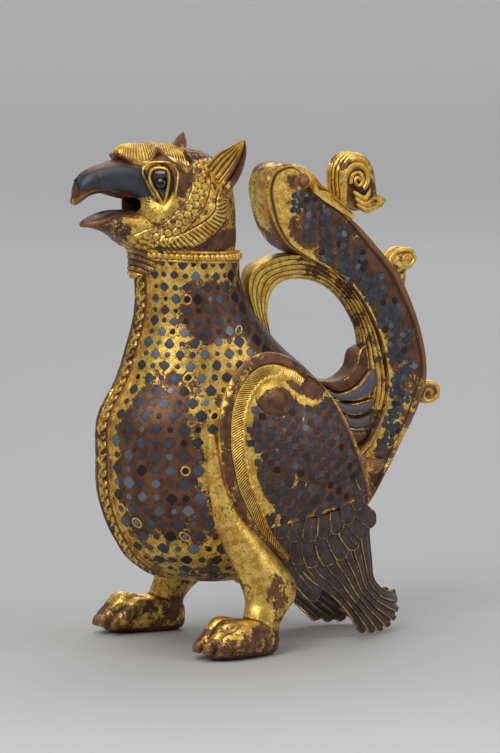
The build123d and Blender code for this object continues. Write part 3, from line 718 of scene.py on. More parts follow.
def studs(centres: Array, half: Array, sides: int, power: float, rng: np.random.Generator) -> tuple[Array, Array]:
    """Outlines of inlays on a flat map, a little uneven.

    Args:
        centres: places (n, 2) on the map.
        half: half size of each inlay, (n,) or (n, 2).
        sides: points of an outline.
        power: 1 for a diamond, 2 for a disc, more for a square.
        rng: source of the unevenness.

    Returns:
        Map places (n, 3 rows, sides, 2), from the buried foot over the rim to the inner top, and the
        height share of each row.
    """
    c, s = loop(sides, power)
    outline = np.stack([c, s], axis=-1)
    size = np.broadcast_to(np.asarray(half, float).reshape(len(centres), -1), (len(centres), 2))
    uneven = 1 + rng.normal(0, 0.045, (len(centres), sides, 1))
    rim = outline[None] * size[:, None] * uneven
    grid = np.stack([rim, rim, rim * 0.78], axis=1) + centres[:, None, None]
    return grid, np.array([-0.35, 0.045, 0.075])


@dataclass
class Vessel:
    """Breast, belly and back, with their braid, collar and inlays."""

    finishes: Finishes
    half_length: float = 44.0
    half_width: float = 31.5
    # Height, centre X, half length and half width as shares of the belly's
    sections: Rows = (
        (21.5, -17.5, 0.182, 0.238),
        (22.4, -17.3, 0.330, 0.397),
        (24.6, -17.0, 0.477, 0.540),
        (29.0, -16.4, 0.657, 0.717),
        (38.0, -15.8, 0.836, 0.886),
        (50.0, -15.6, 0.957, 1.0),
        (64.0, -14.4, 1.009, 1.0),
        (78.0, -15.6, 0.968, 0.930),
        (90.0, -17.3, 0.780, 0.797),
        (100.0, -21.4, 0.605, 0.692),
        (112.0, -24.7, 0.453, 0.590),
        (122.0, -26.9, 0.401, 0.540),
        (130.0, -28.2, 0.418, 0.546),
    )
    # Height and spacing of the inlays' columns there
    pitches: Rows = ((20.0, 4.9), (45.0, 4.9), (75.0, 4.75), (95.0, 4.3), (110.0, 3.8), (130.0, 3.6))
    # Half width of the braid, and its place across from the front line
    braid_half: float = 4.3
    first_column: float = 7.0
    # Patches of more or less gold: column, height, reach in columns and in height, amount
    patches: Rows = (
        (2.0, 112.0, 3.0, 22.0, 0.30),
        (6.0, 128.0, 6.0, 5.0, 0.55),
        (6.2, 113.0, 2.4, 8.5, -0.75),
        (3.6, 99.0, 2.2, 5.0, 0.10),
        (8.2, 97.0, 2.2, 7.0, 0.75),
        (7.4, 79.0, 1.6, 9.0, 0.40),
        (7.8, 62.0, 1.4, 9.0, 0.45),
        (4.2, 66.0, 2.9, 21.0, -0.80),
        (5.0, 33.0, 5.0, 8.0, 0.22),
        (0.75, 75.0, 0.45, 40.0, 0.55),
        (13.0, 108.0, 3.6, 20.0, -0.55),
        (16.0, 92.0, 5.0, 12.0, -0.5),
    )
    wing_front: Rows = ((30.0, -5.8), (41.0, -19.5), (53.0, -27.7), (70.0, -31.6), (86.5, -28.6), (97.0, -18.0))
    wing_back: Rows = ((30.0, 40.0), (46.0, 30.0), (66.0, 18.6), (83.0, 10.0), (92.5, 0.7), (97.0, -6.0))

    def size(self, z: Array) -> tuple[Array, Array, Array]:
        """Centre X, half length and half width at heights."""
        rows = hermite(self.sections, z)
        return rows[..., 0], rows[..., 1] * self.half_length, rows[..., 2] * self.half_width

    def angle(self, s: Array, z: Array) -> Array:
        """Angle from the front line whose arc on the level ellipse is s long."""
        _, a, b = self.size(z)
        turn = np.linspace(0, np.pi, 121)
        steps = np.sqrt((a[..., None] * np.sin(turn)) ** 2 + (b[..., None] * np.cos(turn)) ** 2)
        arc = np.cumsum((steps[..., 1:] + steps[..., :-1]) / 2, axis=-1) * (turn[1] - turn[0])
        arc = np.concatenate([np.zeros_like(arc[..., :1]), arc], axis=-1)
        i = np.clip((arc < s[..., None]).sum(-1) - 1, 0, len(turn) - 2)
        low = np.take_along_axis(arc, i[..., None], -1)[..., 0]
        high = np.take_along_axis(arc, i[..., None] + 1, -1)[..., 0]
        return turn[i] + (turn[1] - turn[0]) * np.clip((s - low) / (high - low), -1.0, 1.0)

    def skin(self, turn: Array, z: Array, side: int, proud: Array | float) -> Array:
        """Places on the vessel at an angle from the front and a height, raised along the normal."""
        low, high = np.maximum(z - 0.3, 21.5), np.minimum(z + 0.3, 130.0)
        lower, upper = (self._level(turn, level, side) for level in (low, high))
        point = self._level(turn, z, side)
        _, a, b = self.size(z)
        level = np.stack([a * np.sin(turn), side * b * np.cos(turn), np.zeros_like(a)], axis=-1)
        normal = unit(np.cross(upper - lower, level)) * side
        return point + normal * np.asarray(proud)[..., None]

    def _level(self, turn: Array, z: Array, side: int) -> Array:
        """Places on the vessel at an angle and a height. The neck's top is lifted, most of all in front."""
        centre, a, b = self.size(z)
        lift = ease(z, 112.0, 130.0) * (1.3 + 1.1 * np.cos(turn))
        return np.stack([centre - a * np.cos(turn), side * b * np.sin(turn), z + lift], axis=-1)

    def on_skin(self, s: Array, z: Array, side: int, proud: Array | float) -> Array:
        """Places at an arc from the front line and a height, raised along the normal."""
        z = np.clip(z, 21.6, 129.9)
        flip = np.where(s < 0, -1.0, 1.0)
        place = self.skin(self.angle(np.abs(s), z), z, side, proud)
        return place * np.stack([np.ones_like(flip), flip, np.ones_like(flip)], axis=-1)

    def gilt(self, column: Array, z: Array) -> Array:
        """How well the gilding is kept, by column of inlays and height."""
        total = np.full(np.broadcast(column, z).shape, 0.47)
        for patch in self.patches:
            total = total + patch[4] * blob(column, z, patch[:4])
        return total

    def column(self, s: Array, z: Array) -> Array:
        """Which column of inlays an arc from the front line falls on."""
        return 1 + (s - self.first_column) / hermite(self.pitches, z)[..., 0]

    def meridian(self, count: int) -> Array:
        """Heights evenly spaced along the side's profile."""
        z = np.linspace(21.5, 130.0, 1200)
        _, _, b = self.size(z)
        length = np.concatenate([[0.0], np.cumsum(np.hypot(np.diff(z), np.diff(b)))])
        return np.interp(np.linspace(0, length[-1], count), length, z)

    def make(self) -> None:
        """Builds the skin, braid, collar and inlays."""
        self._make_skin()
        self._make_braid()
        self._make_collar()
        self._make_inlays()

    def _make_skin(self) -> None:
        """The vessel's skin: level ellipses whose sizes follow a smooth curve of the height."""
        turn = np.linspace(0, 2 * np.pi, 300, endpoint=False)
        z = np.broadcast_to(self.meridian(230)[:, None], (230, 300))
        points = self._level(np.broadcast_to(turn, z.shape), z, LEFT)
        _, a, b = self.size(z)
        steps = np.sqrt((a * np.sin(turn)) ** 2 + (b * np.cos(turn)) ** 2) * (turn[1] - turn[0])
        arc = np.cumsum(steps, axis=1) - steps
        arc = np.minimum(arc, arc[:, -1:] + steps[:, -1:] - arc)
        shells = Shells()
        shells.add(points, gilt=self.gilt(self.column(arc, z), z))
        mesh = shells.mesh("body_skin")
        finish_piece("body_skin", mesh, self.finishes.gilt, ("body_shell",))

    def _make_braid(self) -> None:
        """Braided strap down the breast.

        Across it, plain round mouldings stand on both rims, and between them two strands cross: each strand's
        middle is a sine of the way along, its crown is a round ridge, and a cosine lifts one over the other.
        """
        half = self.braid_half
        z = self.meridian(1800)
        z = z[(z > 24.5) & (z < 129.5)][::3]
        centre, a, _ = self.size(z)
        way = np.concatenate([[0.0], np.cumsum(np.hypot(np.diff(z), np.diff(centre - a)))])[:, None]
        s = np.linspace(-half, half, 61)[None, :]
        plait_half, pitch = 2.55, 3.2
        swing, lift = np.sin(np.pi * way / pitch), np.cos(np.pi * way / pitch)
        strands = []
        for sign in (-1, 1):
            strands.append(ridge(s, sign * 1.35 * swing, 1.1) * (0.75 + 0.35 * sign * lift))
        plait = np.maximum(strands[0], strands[1]) * ease(plait_half + 0.1 - np.abs(s), 0.0, 0.3)
        mould = ridge(np.abs(s), half - 0.9, 0.9)
        height = 0.1 + 1.1 * mould + 1.15 * plait * (mould < 0.05)
        height = np.minimum(height, 1.3)
        height[:, [0, -1]] = -0.4
        s, z = np.broadcast_to(s, height.shape), np.broadcast_to(z[:, None], height.shape)
        top = self.on_skin(s, z, LEFT, height)
        foot = self.on_skin(s, z, LEFT, np.full_like(height, -1.0))
        shells = Shells()
        gilt = 0.55 - 0.30 * ease(mould, 0.3, 0.8) + 0.0 * way
        both = np.concatenate([top, foot[:, ::-1]], axis=1)
        shells.add(both, gilt=np.concatenate([gilt, gilt[:, ::-1]], axis=1))
        mesh = shells.mesh("breast_strap")
        finish_piece("breast_strap", mesh, self.finishes.ornament, ("breast_braid",))

    def _make_collar(self) -> None:
        """Pearled collar: a ring of touching pearls between two plain rods, round the neck's top."""
        turn = np.linspace(0, 2 * np.pi, 1000, endpoint=False)
        _, a, b = self.size(np.full_like(turn, 129.9))
        steps = np.sqrt((a * np.sin(turn)) ** 2 + (b * np.cos(turn)) ** 2) * (turn[1] - turn[0])
        pearls = round(steps.sum() / 2.0)
        phase = np.cumsum(steps) / steps.sum() * pearls
        round_pearl = np.sqrt(np.clip(1 - (2 * (phase % 1) - 1) ** 2, 0.0, 1.0))
        c, s = loop(14)
        shells = Shells()
        for rise, out, radius in ((0.0, 0.05, 0.40 + 0.80 * round_pearl), (1.6, -0.15, 0.5), (-1.6, -0.15, 0.45)):
            wide = np.broadcast_to(radius, turn.shape)[:, None]
            level = self._level(turn, np.full_like(turn, 129.9), LEFT)
            normal = unit(np.stack([-b * np.cos(turn), -a * np.sin(turn), np.zeros_like(a)], axis=-1))
            reach = (out + wide * c[None])[..., None]
            points = level[:, None] + normal[:, None] * reach + np.array([0, 0, 1.0]) * (wide * s)[..., None]
            points[..., 2] += rise
            shells.add(points, ring=True, gilt=0.80 if rise == 0.0 else 0.6)
        mesh = shells.mesh("collar_of_pearls")
        finish_piece("collar_of_pearls", mesh, self.finishes.ornament, ("pearled_collar",))

    def _make_inlays(self) -> None:
        """Silver diamonds and dots in a lattice, large where row and column add up to an even number."""
        rng = np.random.default_rng(7)
        z_dense = np.linspace(24.0, 127.4, 2000)[::-1]
        _, _, b = self.size(z_dense)
        step = np.hypot(np.diff(z_dense), np.diff(b)) / (hermite(self.pitches, z_dense[1:])[:, 0] * 0.94)
        index = np.concatenate([[0.0], np.cumsum(step)])
        rows = np.interp(np.arange(int(index[-1]) + 1), index, z_dense)
        shells, rims = Shells(), Shells()
        for side in (LEFT, RIGHT):
            j, k = np.meshgrid(np.arange(len(rows)), np.arange(1, 30), indexing="ij")
            z = rows[j]
            pitch = hermite(self.pitches, z)[..., 0]
            s = self.first_column + (k - 1) * pitch
            _, a, b = self.size(z)
            girth = np.pi * (3 * (a + b) - np.sqrt((3 * a + b) * (a + 3 * b))) / 2
            turn = self.angle(s, z)
            x = self._level(turn, z, side)[..., 0]
            front = hermite(self.wing_front, z)[..., 0]
            back = hermite(self.wing_back, z)[..., 0]
            under_wing = (z < 97) & (z > 31) & (x > front + 4.5) & (x < back - 4.5)
            kept = (s < girth - 2.0) & ~under_wing
            nape = (s > 0.62 * girth) & (z > 84)
            for even in (True, False):
                chosen = kept & (((j + k) % 2 == 0) == even)
                if not even:
                    chosen &= ~nape
                place = np.stack([s[chosen], z[chosen]], axis=-1)
                place += rng.normal(0, 0.12, place.shape)
                share = np.where(nape[chosen], 0.60, 0.455 if even else 0.245)
                half = share * pitch[chosen] * rng.normal(1.0, 0.07, len(place))
                half = half * np.where(z[chosen] < 100, 0.95, 1.0)
                grid, heights = studs(np.zeros_like(place), half, 12, 1.4 if even else 1.8, rng)
                lean, rise = (v[:, None, None] for v in self._local(place, side))
                up = grid[..., 1] / rise
                grid = np.stack([grid[..., 0] - lean * up, up], axis=-1) + place[:, None, None]
                tone = np.clip(rng.normal(0.50, 0.30, len(place)), 0.0, 1.2) - 0.5 * nape[chosen]
                lost = rng.random(len(place)) < (0.04 if even else 0.16)
                tone = np.where(lost, -1.0, tone)[:, None, None]
                proud = np.broadcast_to(heights[None, :, None], grid.shape[:3])
                points = self.on_skin(grid[..., 0], grid[..., 1], side, proud)
                edge = np.broadcast_to(np.array([1.0, 1.0, 0.0])[None, :, None], grid.shape[:3])
                shells.add(points, tone=np.broadcast_to(tone, grid.shape[:3]), edge=edge)
                if not even:
                    self._add_rims(rims, place, half, side, rng)
        mesh = shells.mesh("breast_silver")
        finish_piece("breast_silver", mesh, self.finishes.silver, ("breast_inlays",), sharp=80)
        mesh = rims.mesh("breast_gold_rims")
        finish_piece("breast_gold_rims", mesh, self.finishes.ornament)

    def _add_rims(self, rims: Shells, place: Array, half: Array, side: int, rng: np.random.Generator) -> None:
        """Thin gold rings round some of the dots: a circle swept by a small flat section."""
        chosen = rng.random(len(place)) < 0.14
        chosen &= place[:, 0] < 40
        centre, radius = place[chosen], half[chosen]
        c, s = loop(14)
        section = np.array([[1.15, 0.02], [1.28, 0.10], [1.55, 0.10], [1.65, 0.02], [1.65, -0.3], [1.15, -0.3]])
        reach = radius[:, None, None] * section[None, None, :, 0]
        arc = centre[:, None, None, 0] + reach * c[None, :, None]
        z = centre[:, None, None, 1] + reach * s[None, :, None]
        proud = np.broadcast_to(section[None, None, :, 1], arc.shape)
        rims.add(self.on_skin(arc, z, side, proud), ring=True, gilt=0.95)

    def _local(self, place: Array, side: int) -> tuple[Array, Array]:
        """How far the profile leans along the arc, and its length, for one millimetre of height at places."""
        s, z = place[:, 0], np.clip(place[:, 1], 22.0, 129.4)
        here = self.on_skin(s, z, side, np.zeros_like(s))
        across = unit(self.on_skin(s + 0.4, z, side, np.zeros_like(s)) - here)
        up = (self.on_skin(s, z + 0.4, side, np.zeros_like(s)) - here) / 0.4
        lean = (up * across).sum(1)
        return lean, np.linalg.norm(up - lean[:, None] * across, axis=1)


@dataclass
class Ribbon:
    """A curved band on the head: a path and how far it reaches to both sides of it."""

    path: Rows
    half: float

    def map(self, points: Array) -> tuple[Array, Array, Array]:
        """Way along, way across (outwards from the path's lower side) and share of being on the band.

        The nearest sample of the path gives the way along, and the offset from it, measured square to the
        path on the head's side, gives the way across.
        """
        path = curve(self.path, 240)
        way = np.concatenate([[0.0], np.cumsum(np.linalg.norm(np.diff(path, axis=0), axis=1))])
        folded = points * (1, 0, 1) - np.abs(points) * (0, 1, 0)
        along, across = np.full(len(points), -9.0), np.full(len(points), 99.0)
        low, high = path.min(0) - 2 * self.half, path.max(0) + 2 * self.half
        near = ((folded > low) & (folded < high)).all(1)
        picked = folded[near]
        nearest = np.argmin(((picked[:, None] - path[None, ::2]) ** 2).sum(-1), axis=1) * 2
        tangent = unit(np.gradient(path, axis=0))[nearest]
        outward = unit(picked - np.array([-32.0, 0.0, 146.0]))
        square = np.cross(outward, tangent)
        offset = picked - path[nearest]
        along[near] = way[nearest] + (offset * tangent).sum(1)
        across[near] = (offset * square).sum(1)
        apart = np.abs((offset * outward).sum(1))
        on = np.zeros(len(points))
        on[near] = ease(self.half - np.abs(across[near]), -0.2, 0.3) * (apart < 5)
        on *= ease(along, -0.3, 0.4) * ease(way[-1] + 0.3 - along, 0.0, 0.5)
        return along, across, on


def scales(along: Array, across: Array, pitch: float) -> Array:
    """Round scales packed like cobbles: a dome over the nearest point of a staggered grid, higher ahead."""
    height = np.zeros_like(along)
    row = np.round(along / (0.87 * pitch))
    for k in (-1, 0, 1):
        near = row + k
        shift = (near % 2) * 0.5
        column = np.round(across / pitch - shift) + shift
        ahead = along / pitch - 0.87 * near
        away = np.hypot(ahead, across / pitch - column) / 0.57
        height = np.maximum(height, np.sqrt(np.clip(1 - away ** 2, 0, 1)) * (0.8 + 0.4 * ahead))
    return height


@dataclass
class Head:
    """Head with its beak, eyes, ears, brow and scales."""

    finishes: Finishes
    neck: tuple = (-28.2, 18.4, 17.2)
    top_of_neck: float = 130.0
    # Rise over the neck, shift of the centre, growth of half length and half width
    skull: Rows = (
        (-2.0, 0.3, -1.2, -1.2),
        (2.5, -0.7, -0.6, -0.6),
        (5.0, -1.8, 0.6, 0.5),
        (11.0, -2.1, 0.9, 0.5),
        (19.0, -2.4, 0.8, 0.0),
        (27.0, -3.0, -0.6, -1.9),
        (32.5, -4.8, -3.6, -5.0),
        (35.6, -6.8, -8.9, -9.0),
        (37.0, -8.8, -14.6, -13.6),
    )
    # Distance forward, height over the neck, half height, half width
    upper_beak: Rows = (
        (10.0, 26.0, 9.4, 13.0),
        (15.0, 27.0, 8.6, 12.0),
        (24.0, 27.4, 6.6, 8.6),
        (30.0, 27.4, 5.1, 6.6),
        (35.0, 26.8, 4.3, 5.2),
        (38.6, 25.2, 4.2, 4.0),
        (40.8, 23.0, 3.8, 2.8),
        (41.8, 21.6, 2.7, 1.7),
        (42.1, 21.0, 1.6, 0.9),
    )
    lower_beak: Rows = (
        (10.0, 8.0, 7.8, 13.4),
        (15.0, 9.0, 7.6, 12.0),
        (24.0, 11.0, 5.5, 8.6),
        (30.0, 12.7, 3.4, 6.4),
        (34.0, 12.9, 2.1, 4.9),
        (37.0, 12.7, 1.1, 3.1),
        (38.6, 12.5, 0.5, 1.4),
    )
    mouth: tuple = (148.6, 3.4, 6.6)
    eye: tuple = (-44.0, 11.3, 156.2)
    eye_facing: tuple = (-0.66, 0.75, 0.05)
    scale_band: Ribbon = field(
        default_factory=lambda: Ribbon(
            (
                (-29.5, -6.0, 165.5),
                (-29.8, -9.3, 164.2),
                (-29.9, -14.0, 159.1),
                (-31.1, -16.0, 153.8),
                (-33.5, -17.0, 149.0),
                (-37.5, -16.2, 144.8),
                (-41.9, -14.1, 140.0),
                (-46.2, -9.6, 138.1),
                (-49.0, -4.5, 136.6),
            ),
            3.0,
        )
    )
    fringe: Ribbon = field(
        default_factory=lambda: Ribbon(
            (
                (-20.5, -14.0, 152.5),
                (-22.7, -15.5, 149.6),
                (-23.6, -16.2, 145.8),
                (-26.8, -17.2, 142.4),
                (-32.0, -17.6, 139.4),
                (-37.5, -16.3, 136.7),
                (-43.6, -12.2, 135.0),
            ),
            2.6,
        )
    )
    brow_rim: Rows = (
        (-53.4, 0.0, 163.9),
        (-53.2, -3.0, 163.9),
        (-52.3, -6.0, 162.9),
        (-49.0, -7.6, 161.6),
        (-46.0, -8.4, 161.0),
        (-44.0, -8.0, 163.4),
        (-42.4, -7.6, 166.0),
        (-40.6, -8.6, 163.8),
        (-38.6, -11.4, 161.8),
        (-36.6, -13.2, 160.4),
        (-34.6, -14.2, 159.0),
        (-33.4, -13.8, 160.4),
        (-34.0, -12.0, 163.4),
    )
    brow_top: Rows = (
        (-53.0, 0.0, 167.2),
        (-50.8, 0.0, 167.9),
        (-46.0, 0.0, 168.0),
        (-40.0, 0.0, 167.9),
        (-35.5, -3.0, 167.6),
        (-34.0, -8.0, 166.2),
    )
    # Outlines about the eye's middle: rearward and upward
    garnet_outline: Rows = (
        (0.0, 4.4),
        (2.2, 3.9),
        (2.9, 1.5),
        (2.6, -1.5),
        (2.1, -3.8),
        (1.2, -6.4),
        (0.2, -4.9),
        (-1.0, -2.8),
        (-2.4, -0.6),
        (-3.1, 1.8),
        (-2.2, 3.9),
    )
    lid_outline: Rows = (
        (0.0, 6.8),
        (-3.6, 6.2),
        (-5.4, 4.2),
        (-4.6, 0.4),
        (-2.8, -2.9),
        (-0.8, -6.0),
        (1.2, -8.6),
        (3.2, -10.6),
        (3.9, -8.2),
        (5.0, -4.7),
        (5.9, 0.0),
        (5.7, 3.6),
        (3.6, 6.2),
    )
    bead_place: tuple = (0.35, -0.3)
    lip_line: Rows = (
        (-69.9, 150.2),
        (-68.4, 151.4),
        (-66.3, 152.9),
        (-63.5, 153.7),
        (-59.7, 153.7),
        (-55.6, 152.1),
        (-52.0, 149.9),
        (-50.3, 148.1),
        (-50.1, 146.6),
        (-51.7, 145.7),
        (-54.7, 145.9),
        (-58.1, 145.5),
        (-61.4, 144.1),
        (-65.4, 142.8),
        (-67.0, 142.4),
    )
    ear_front: Rows = (
        (-29.5, -11.6, 157.5),
        (-27.5, -13.5, 161.3),
        (-25.0, -15.8, 165.0),
        (-20.6, -18.9, 168.2),
        (-17.4, -20.5, 169.9),
    )
    ear_rear: Rows = (
        (-24.0, -15.2, 147.5),
        (-21.4, -17.0, 151.8),
        (-18.2, -19.0, 157.0),
        (-16.8, -20.3, 162.0),
        (-16.4, -20.8, 167.0),
        (-16.9, -20.8, 169.6),
    )
    skin: bpy.types.Mesh | None = None

    def make(self) -> None:
        """Builds the skin, plates, eyes, brow and ears."""
        self._make_skin()
        self._make_brow()
        for name, side in SIDES.items():
            self._make_eye(name, side)
            self._make_ear(name, side)

    def _beak(self, rows: Rows, power: float) -> Array:
        """Upright outlines whose centre and half sizes follow a smooth curve of the way forward."""
        forward = np.linspace(rows[0][0], rows[-1][0], 60)
        rise, tall, wide = np.moveaxis(hermite(rows, forward), -1, 0)
        c, s = loop(48, power)
        x = np.broadcast_to((self.neck[0] - forward)[:, None], (60, 48))
        y = wide[:, None] * c
        z = self.top_of_neck + rise[:, None] + tall[:, None] * s
        return np.stack([x, y, z], axis=-1)

    def _skull(self) -> Array:
        """Level ellipses whose centre and half sizes follow a smooth curve of the height.

        In front, the lowest ones are drawn down and out into a pointed hem that covers the collar.
        """
        rise = np.linspace(self.skull[0][0], self.skull[-1][0], 70)
        shift, longer, wider = np.moveaxis(hermite(self.skull, rise), -1, 0)
        c, s = loop(96)
        hem = np.exp(-((np.arctan2(np.abs(s), -c) / 0.50) ** 2))[None] * ease(6.0 - rise, 0.0, 7.0)[:, None]
        x = self.neck[0] + shift[:, None] + (self.neck[1] + longer)[:, None] * c - 3.4 * hem
        y = (self.neck[2] + wider)[:, None] * s
        z = self.top_of_neck + rise[:, None] - 4.5 * hem
        return np.stack([x, y, z], axis=-1)

    def _make_skin(self) -> None:
        """Head and beak in one skin, then pushed in at the mouth and raised into scales, fringe and lids."""
        shells = Shells()
        shells.add(self._skull())
        shells.add(self._beak(self.upper_beak, 2.2))
        shells.add(self._beak(self.lower_beak, 2.2))
        mesh = one_skin(shells, "head_skin", 0.30, 6)
        points, normals = points_of(mesh)
        points, soot = self._open_mouth(points)
        points = self._set_eyes(points)
        set_points(mesh, points)
        points, normals = points_of(mesh)
        x, y, z = points.T
        height = np.zeros(len(points))
        along, across, on = self.scale_band.map(points)
        height += on * 0.75 * scales(along, across, 2.5)
        scaled = on
        along, across, on = self.fringe.map(points)
        hatch = np.cos(2 * np.pi * (along + 0.5 * across) / 1.5)
        height += on * (0.55 + 0.20 * hatch)
        fringe = on
        hair = np.cos(2 * np.pi * (z + 0.55 * x) / 1.9) * ease(-x, 40.0, 46.0) * ease(138.5 - z, 0.0, 2.0)
        height += 0.22 * hair
        lip = self._lip(points)
        height += 0.45 * lip
        crown = ease(z, 160.0, 163.0) * ease(x, -33.0, -29.0)
        height += crown * 0.35 * scales(-x * 0.9 - 8, y, 2.1)
        gilt = 0.60 + 0.0 * x
        gilt += 0.25 * fringe + 0.05 * scaled - 0.55 * lip
        for patch in ((-38.0, 157.0, 2.6, 4.5, -0.8), (-21.0, 137.0, 9.0, 2.4, -0.9), (-33.0, 134.8, 12.0, 1.1, -0.7)):
            gilt += patch[4] * blob(x, z, patch[:4])
        gilt -= 0.35 * ease(z, 161.0, 164.0) + 0.3 * ease(x, -50.0, -58.0) * ease(150.0 - z, 0.0, 3.0)
        gilt -= 0.9 * ease(z, 151.0, 153.0) * ease(-x, 48.0, 52.0)
        set_points(mesh, points + normals * height[:, None])
        store(mesh, "gilt", gilt)
        # Painted shade of the mouth's hollow, passed to the material as a point value
        store(mesh, "soot", soot)
        self.skin = mesh
        self._make_plates()
        finish_piece("head_skin", mesh, self.finishes.gilt, ("head_shell",))

    def _open_mouth(self, points: Array) -> tuple[Array, Array]:
        """Pushes the skull's front in between the two halves of the beak, and paints shade into the mouth's hollow."""
        middle, tall, wide = self.mouth
        x, y, z = points.T
        inside = ease(1 - (y / wide) ** 2 - ((z - middle) / tall) ** 2, 0.0, 0.25)
        front = ease(-x, 40.0, 47.0) * (x > -52.0)
        moved = points + np.stack([9.0 * inside * front, 0 * x, 0 * x], axis=-1)
        # Painted shade: a mask over the mouth's hollow and the pushed-in front, which the gilding paints near black
        hollow = ease(1 - (y / (wide - 0.6)) ** 2 - ((z - middle) / (tall + 1.0)) ** 2, 0.0, 0.5)
        soot = hollow * ease(-x, 38.0, 42.0) * ease(x, -66.0, -54.0)
        return moved, np.clip(soot + inside * front, 0.0, 1.0)

    def _lip(self, points: Array) -> Array:
        """Raised rim along the edges of the mouth, from the corner forward, in the side view."""
        path = curve(self.lip_line, 160)
        x, y, z = points.T
        near = np.full(len(points), 9.0)
        front = (x < -42.0) & (z > 138.0)
        near[front] = distance_to(points[front][:, ::2].astype(np.float32), path.astype(np.float32))
        return ease(1.15 - near, 0.0, 0.7) * (np.abs(y) > 1.0)

    def _eye_frame(self, side: int) -> tuple[Array, Array, Array, Array]:
        """Middle of the eye, and its facing, forward and upward directions."""
        facing = unit(np.array(self.eye_facing) * (1, side, 1))
        upward = unit(np.array([0.0, 0.0, 1.0]) - facing * facing[2])
        forward = unit(np.cross(upward, facing) * -side)
        return np.array(self.eye) * (1, side, 1), facing, forward, upward

    def _set_eyes(self, points: Array) -> Array:
        """Flattens the head's side round each eye, sunk a little in the middle."""
        moved = points.copy()
        for side in (LEFT, RIGHT):
            middle, facing, forward, upward = self._eye_frame(side)
            offset = moved - middle
            depth = offset @ facing
            away = np.hypot((offset @ forward) / 5.2, (offset @ upward) / 7.0)
            share = ease(1.45 - away, 0.0, 0.6) * (np.abs(depth) < 6)
            level = -0.5 - 0.9 * ease(1.05 - away, 0.0, 0.25)
            moved += facing * ((level - depth) * share)[:, None]
        return moved

    def _make_eye(self, name: str, side: int) -> None:
        """Two rims, the garnet plate and the black bead."""
        middle, facing, rearward, upward = self._eye_frame(side)
        view = (middle, rearward, upward, facing)
        garnet = closed_curve(self.garnet_outline, 120)
        lid = closed_curve(self.lid_outline, 160)
        shells = Shells()
        for outline, grow, proud, radius in ((garnet, 1.10, -0.15, 0.5), (lid, 1.0, 0.0, 0.36)):
            if grow > 1:
                path = middle + (outline[:, :1] * rearward + outline[:, 1:] * upward) * grow + facing * proud
            else:
                path = lay_on(self.skin, outline[None], view, proud)[0]
            along = unit(np.roll(path, -1, 0) - np.roll(path, 1, 0))
            out = unit(np.cross(along, facing))
            up = np.cross(out, along)
            c, s = loop(12)
            section = out[:, None] * c[None, :, None] + up[:, None] * s[None, :, None]
            shells.add(path[:, None] + section * radius, ring=True, gilt=0.9)
        mesh = shells.mesh(name + "_eyelid")
        finish_piece(name + "_eyelid", mesh, self.finishes.ornament)
        share = np.linspace(1.0, 0.04, 12)[:, None]
        flat = share[..., None] * garnet[None]
        dome = 0.7 * (1 - share ** 2) - 1.1
        plate = middle + flat[..., :1] * rearward + flat[..., 1:] * upward + dome[..., None] * facing
        shells = Shells()
        shells.add(np.concatenate([plate[:1] - facing * 1.4, plate]))
        mesh = shells.mesh(name + "_eye_garnet")
        finish_piece(name + "_eye_garnet", mesh, self.finishes.garnet, (name + "_eye_inlay",))
        seat = middle + self.bead_place[0] * rearward + self.bead_place[1] * upward - facing * 0.6
        self._make_bead(name, seat, facing, rearward, upward)

    def _make_bead(self, name: str, middle: Array, facing: Array, forward: Array, upward: Array) -> None:
        """Black bead: a profile of a dome in a ring, turned round the eye's facing."""
        profile = np.array(
            [[2.6, -1.0], [2.7, 0.0], [2.5, 0.35], [2.2, 0.2], [2.05, 0.0], [1.95, 0.5], [1.6, 1.05], [1.0, 1.4], [0.05, 1.5]]
        )
        profile = curve(profile, 40)
        c, s = loop(36)
        around = forward * c[:, None] + upward * s[:, None]
        points = middle + profile[:, None, :1] * around[None] + profile[:, None, 1:] * facing
        shells = Shells()
        shells.add(points)
        mesh = shells.mesh(name + "_eye_bead")
        finish_piece(name + "_eye_bead", mesh, self.finishes.bead, (name + "_eye_stone",))

    def _make_brow(self) -> None:
        """Brow lappet: a sheet from the crown's top line down to a lobed rim, thicker and rolled at the rim."""
        rim, top = curve(self.brow_rim, 220), curve(self.brow_top, 220)
        v = np.linspace(0, 1, 40)[None]
        sheet = top[:, None] * (1 - v[..., None]) + rim[:, None] * v[..., None]
        outward = unit(sheet - np.array([-38.0, 0.0, 150.0]))
        way = np.concatenate([[0.0], np.cumsum(np.linalg.norm(np.diff(rim, axis=0), axis=1))])[:, None]
        arch = 1.1 * np.sin(np.pi * v) ** 0.8
        roll = 0.9 * ridge(v, 0.91, 0.085)
        lines = 0.15 * np.cos(2 * np.pi * (way / 1.15 + 1.2 * v)) * ease(0.82 - v, 0.0, 0.05)
        outer = sheet + outward * (0.5 + arch + roll + lines)[..., None]
        inner = sheet + outward * (-1.1 + 0.0 * lines)[..., None]
        gilt = 0.95 - 0.6 * ease(v, 0.80, 0.86) + 0.0 * way
        shells = Shells()
        for side in (LEFT, RIGHT):
            grid = np.concatenate([outer, inner[:, ::-1]], axis=1) * (1.0, -float(side), 1.0)
            shells.add(grid, gilt=np.concatenate([gilt, gilt[:, ::-1]], axis=1))
        mesh = shells.mesh("brow_lappet")
        finish_piece("brow_lappet", mesh, self.finishes.ornament, ("brow_crest",))

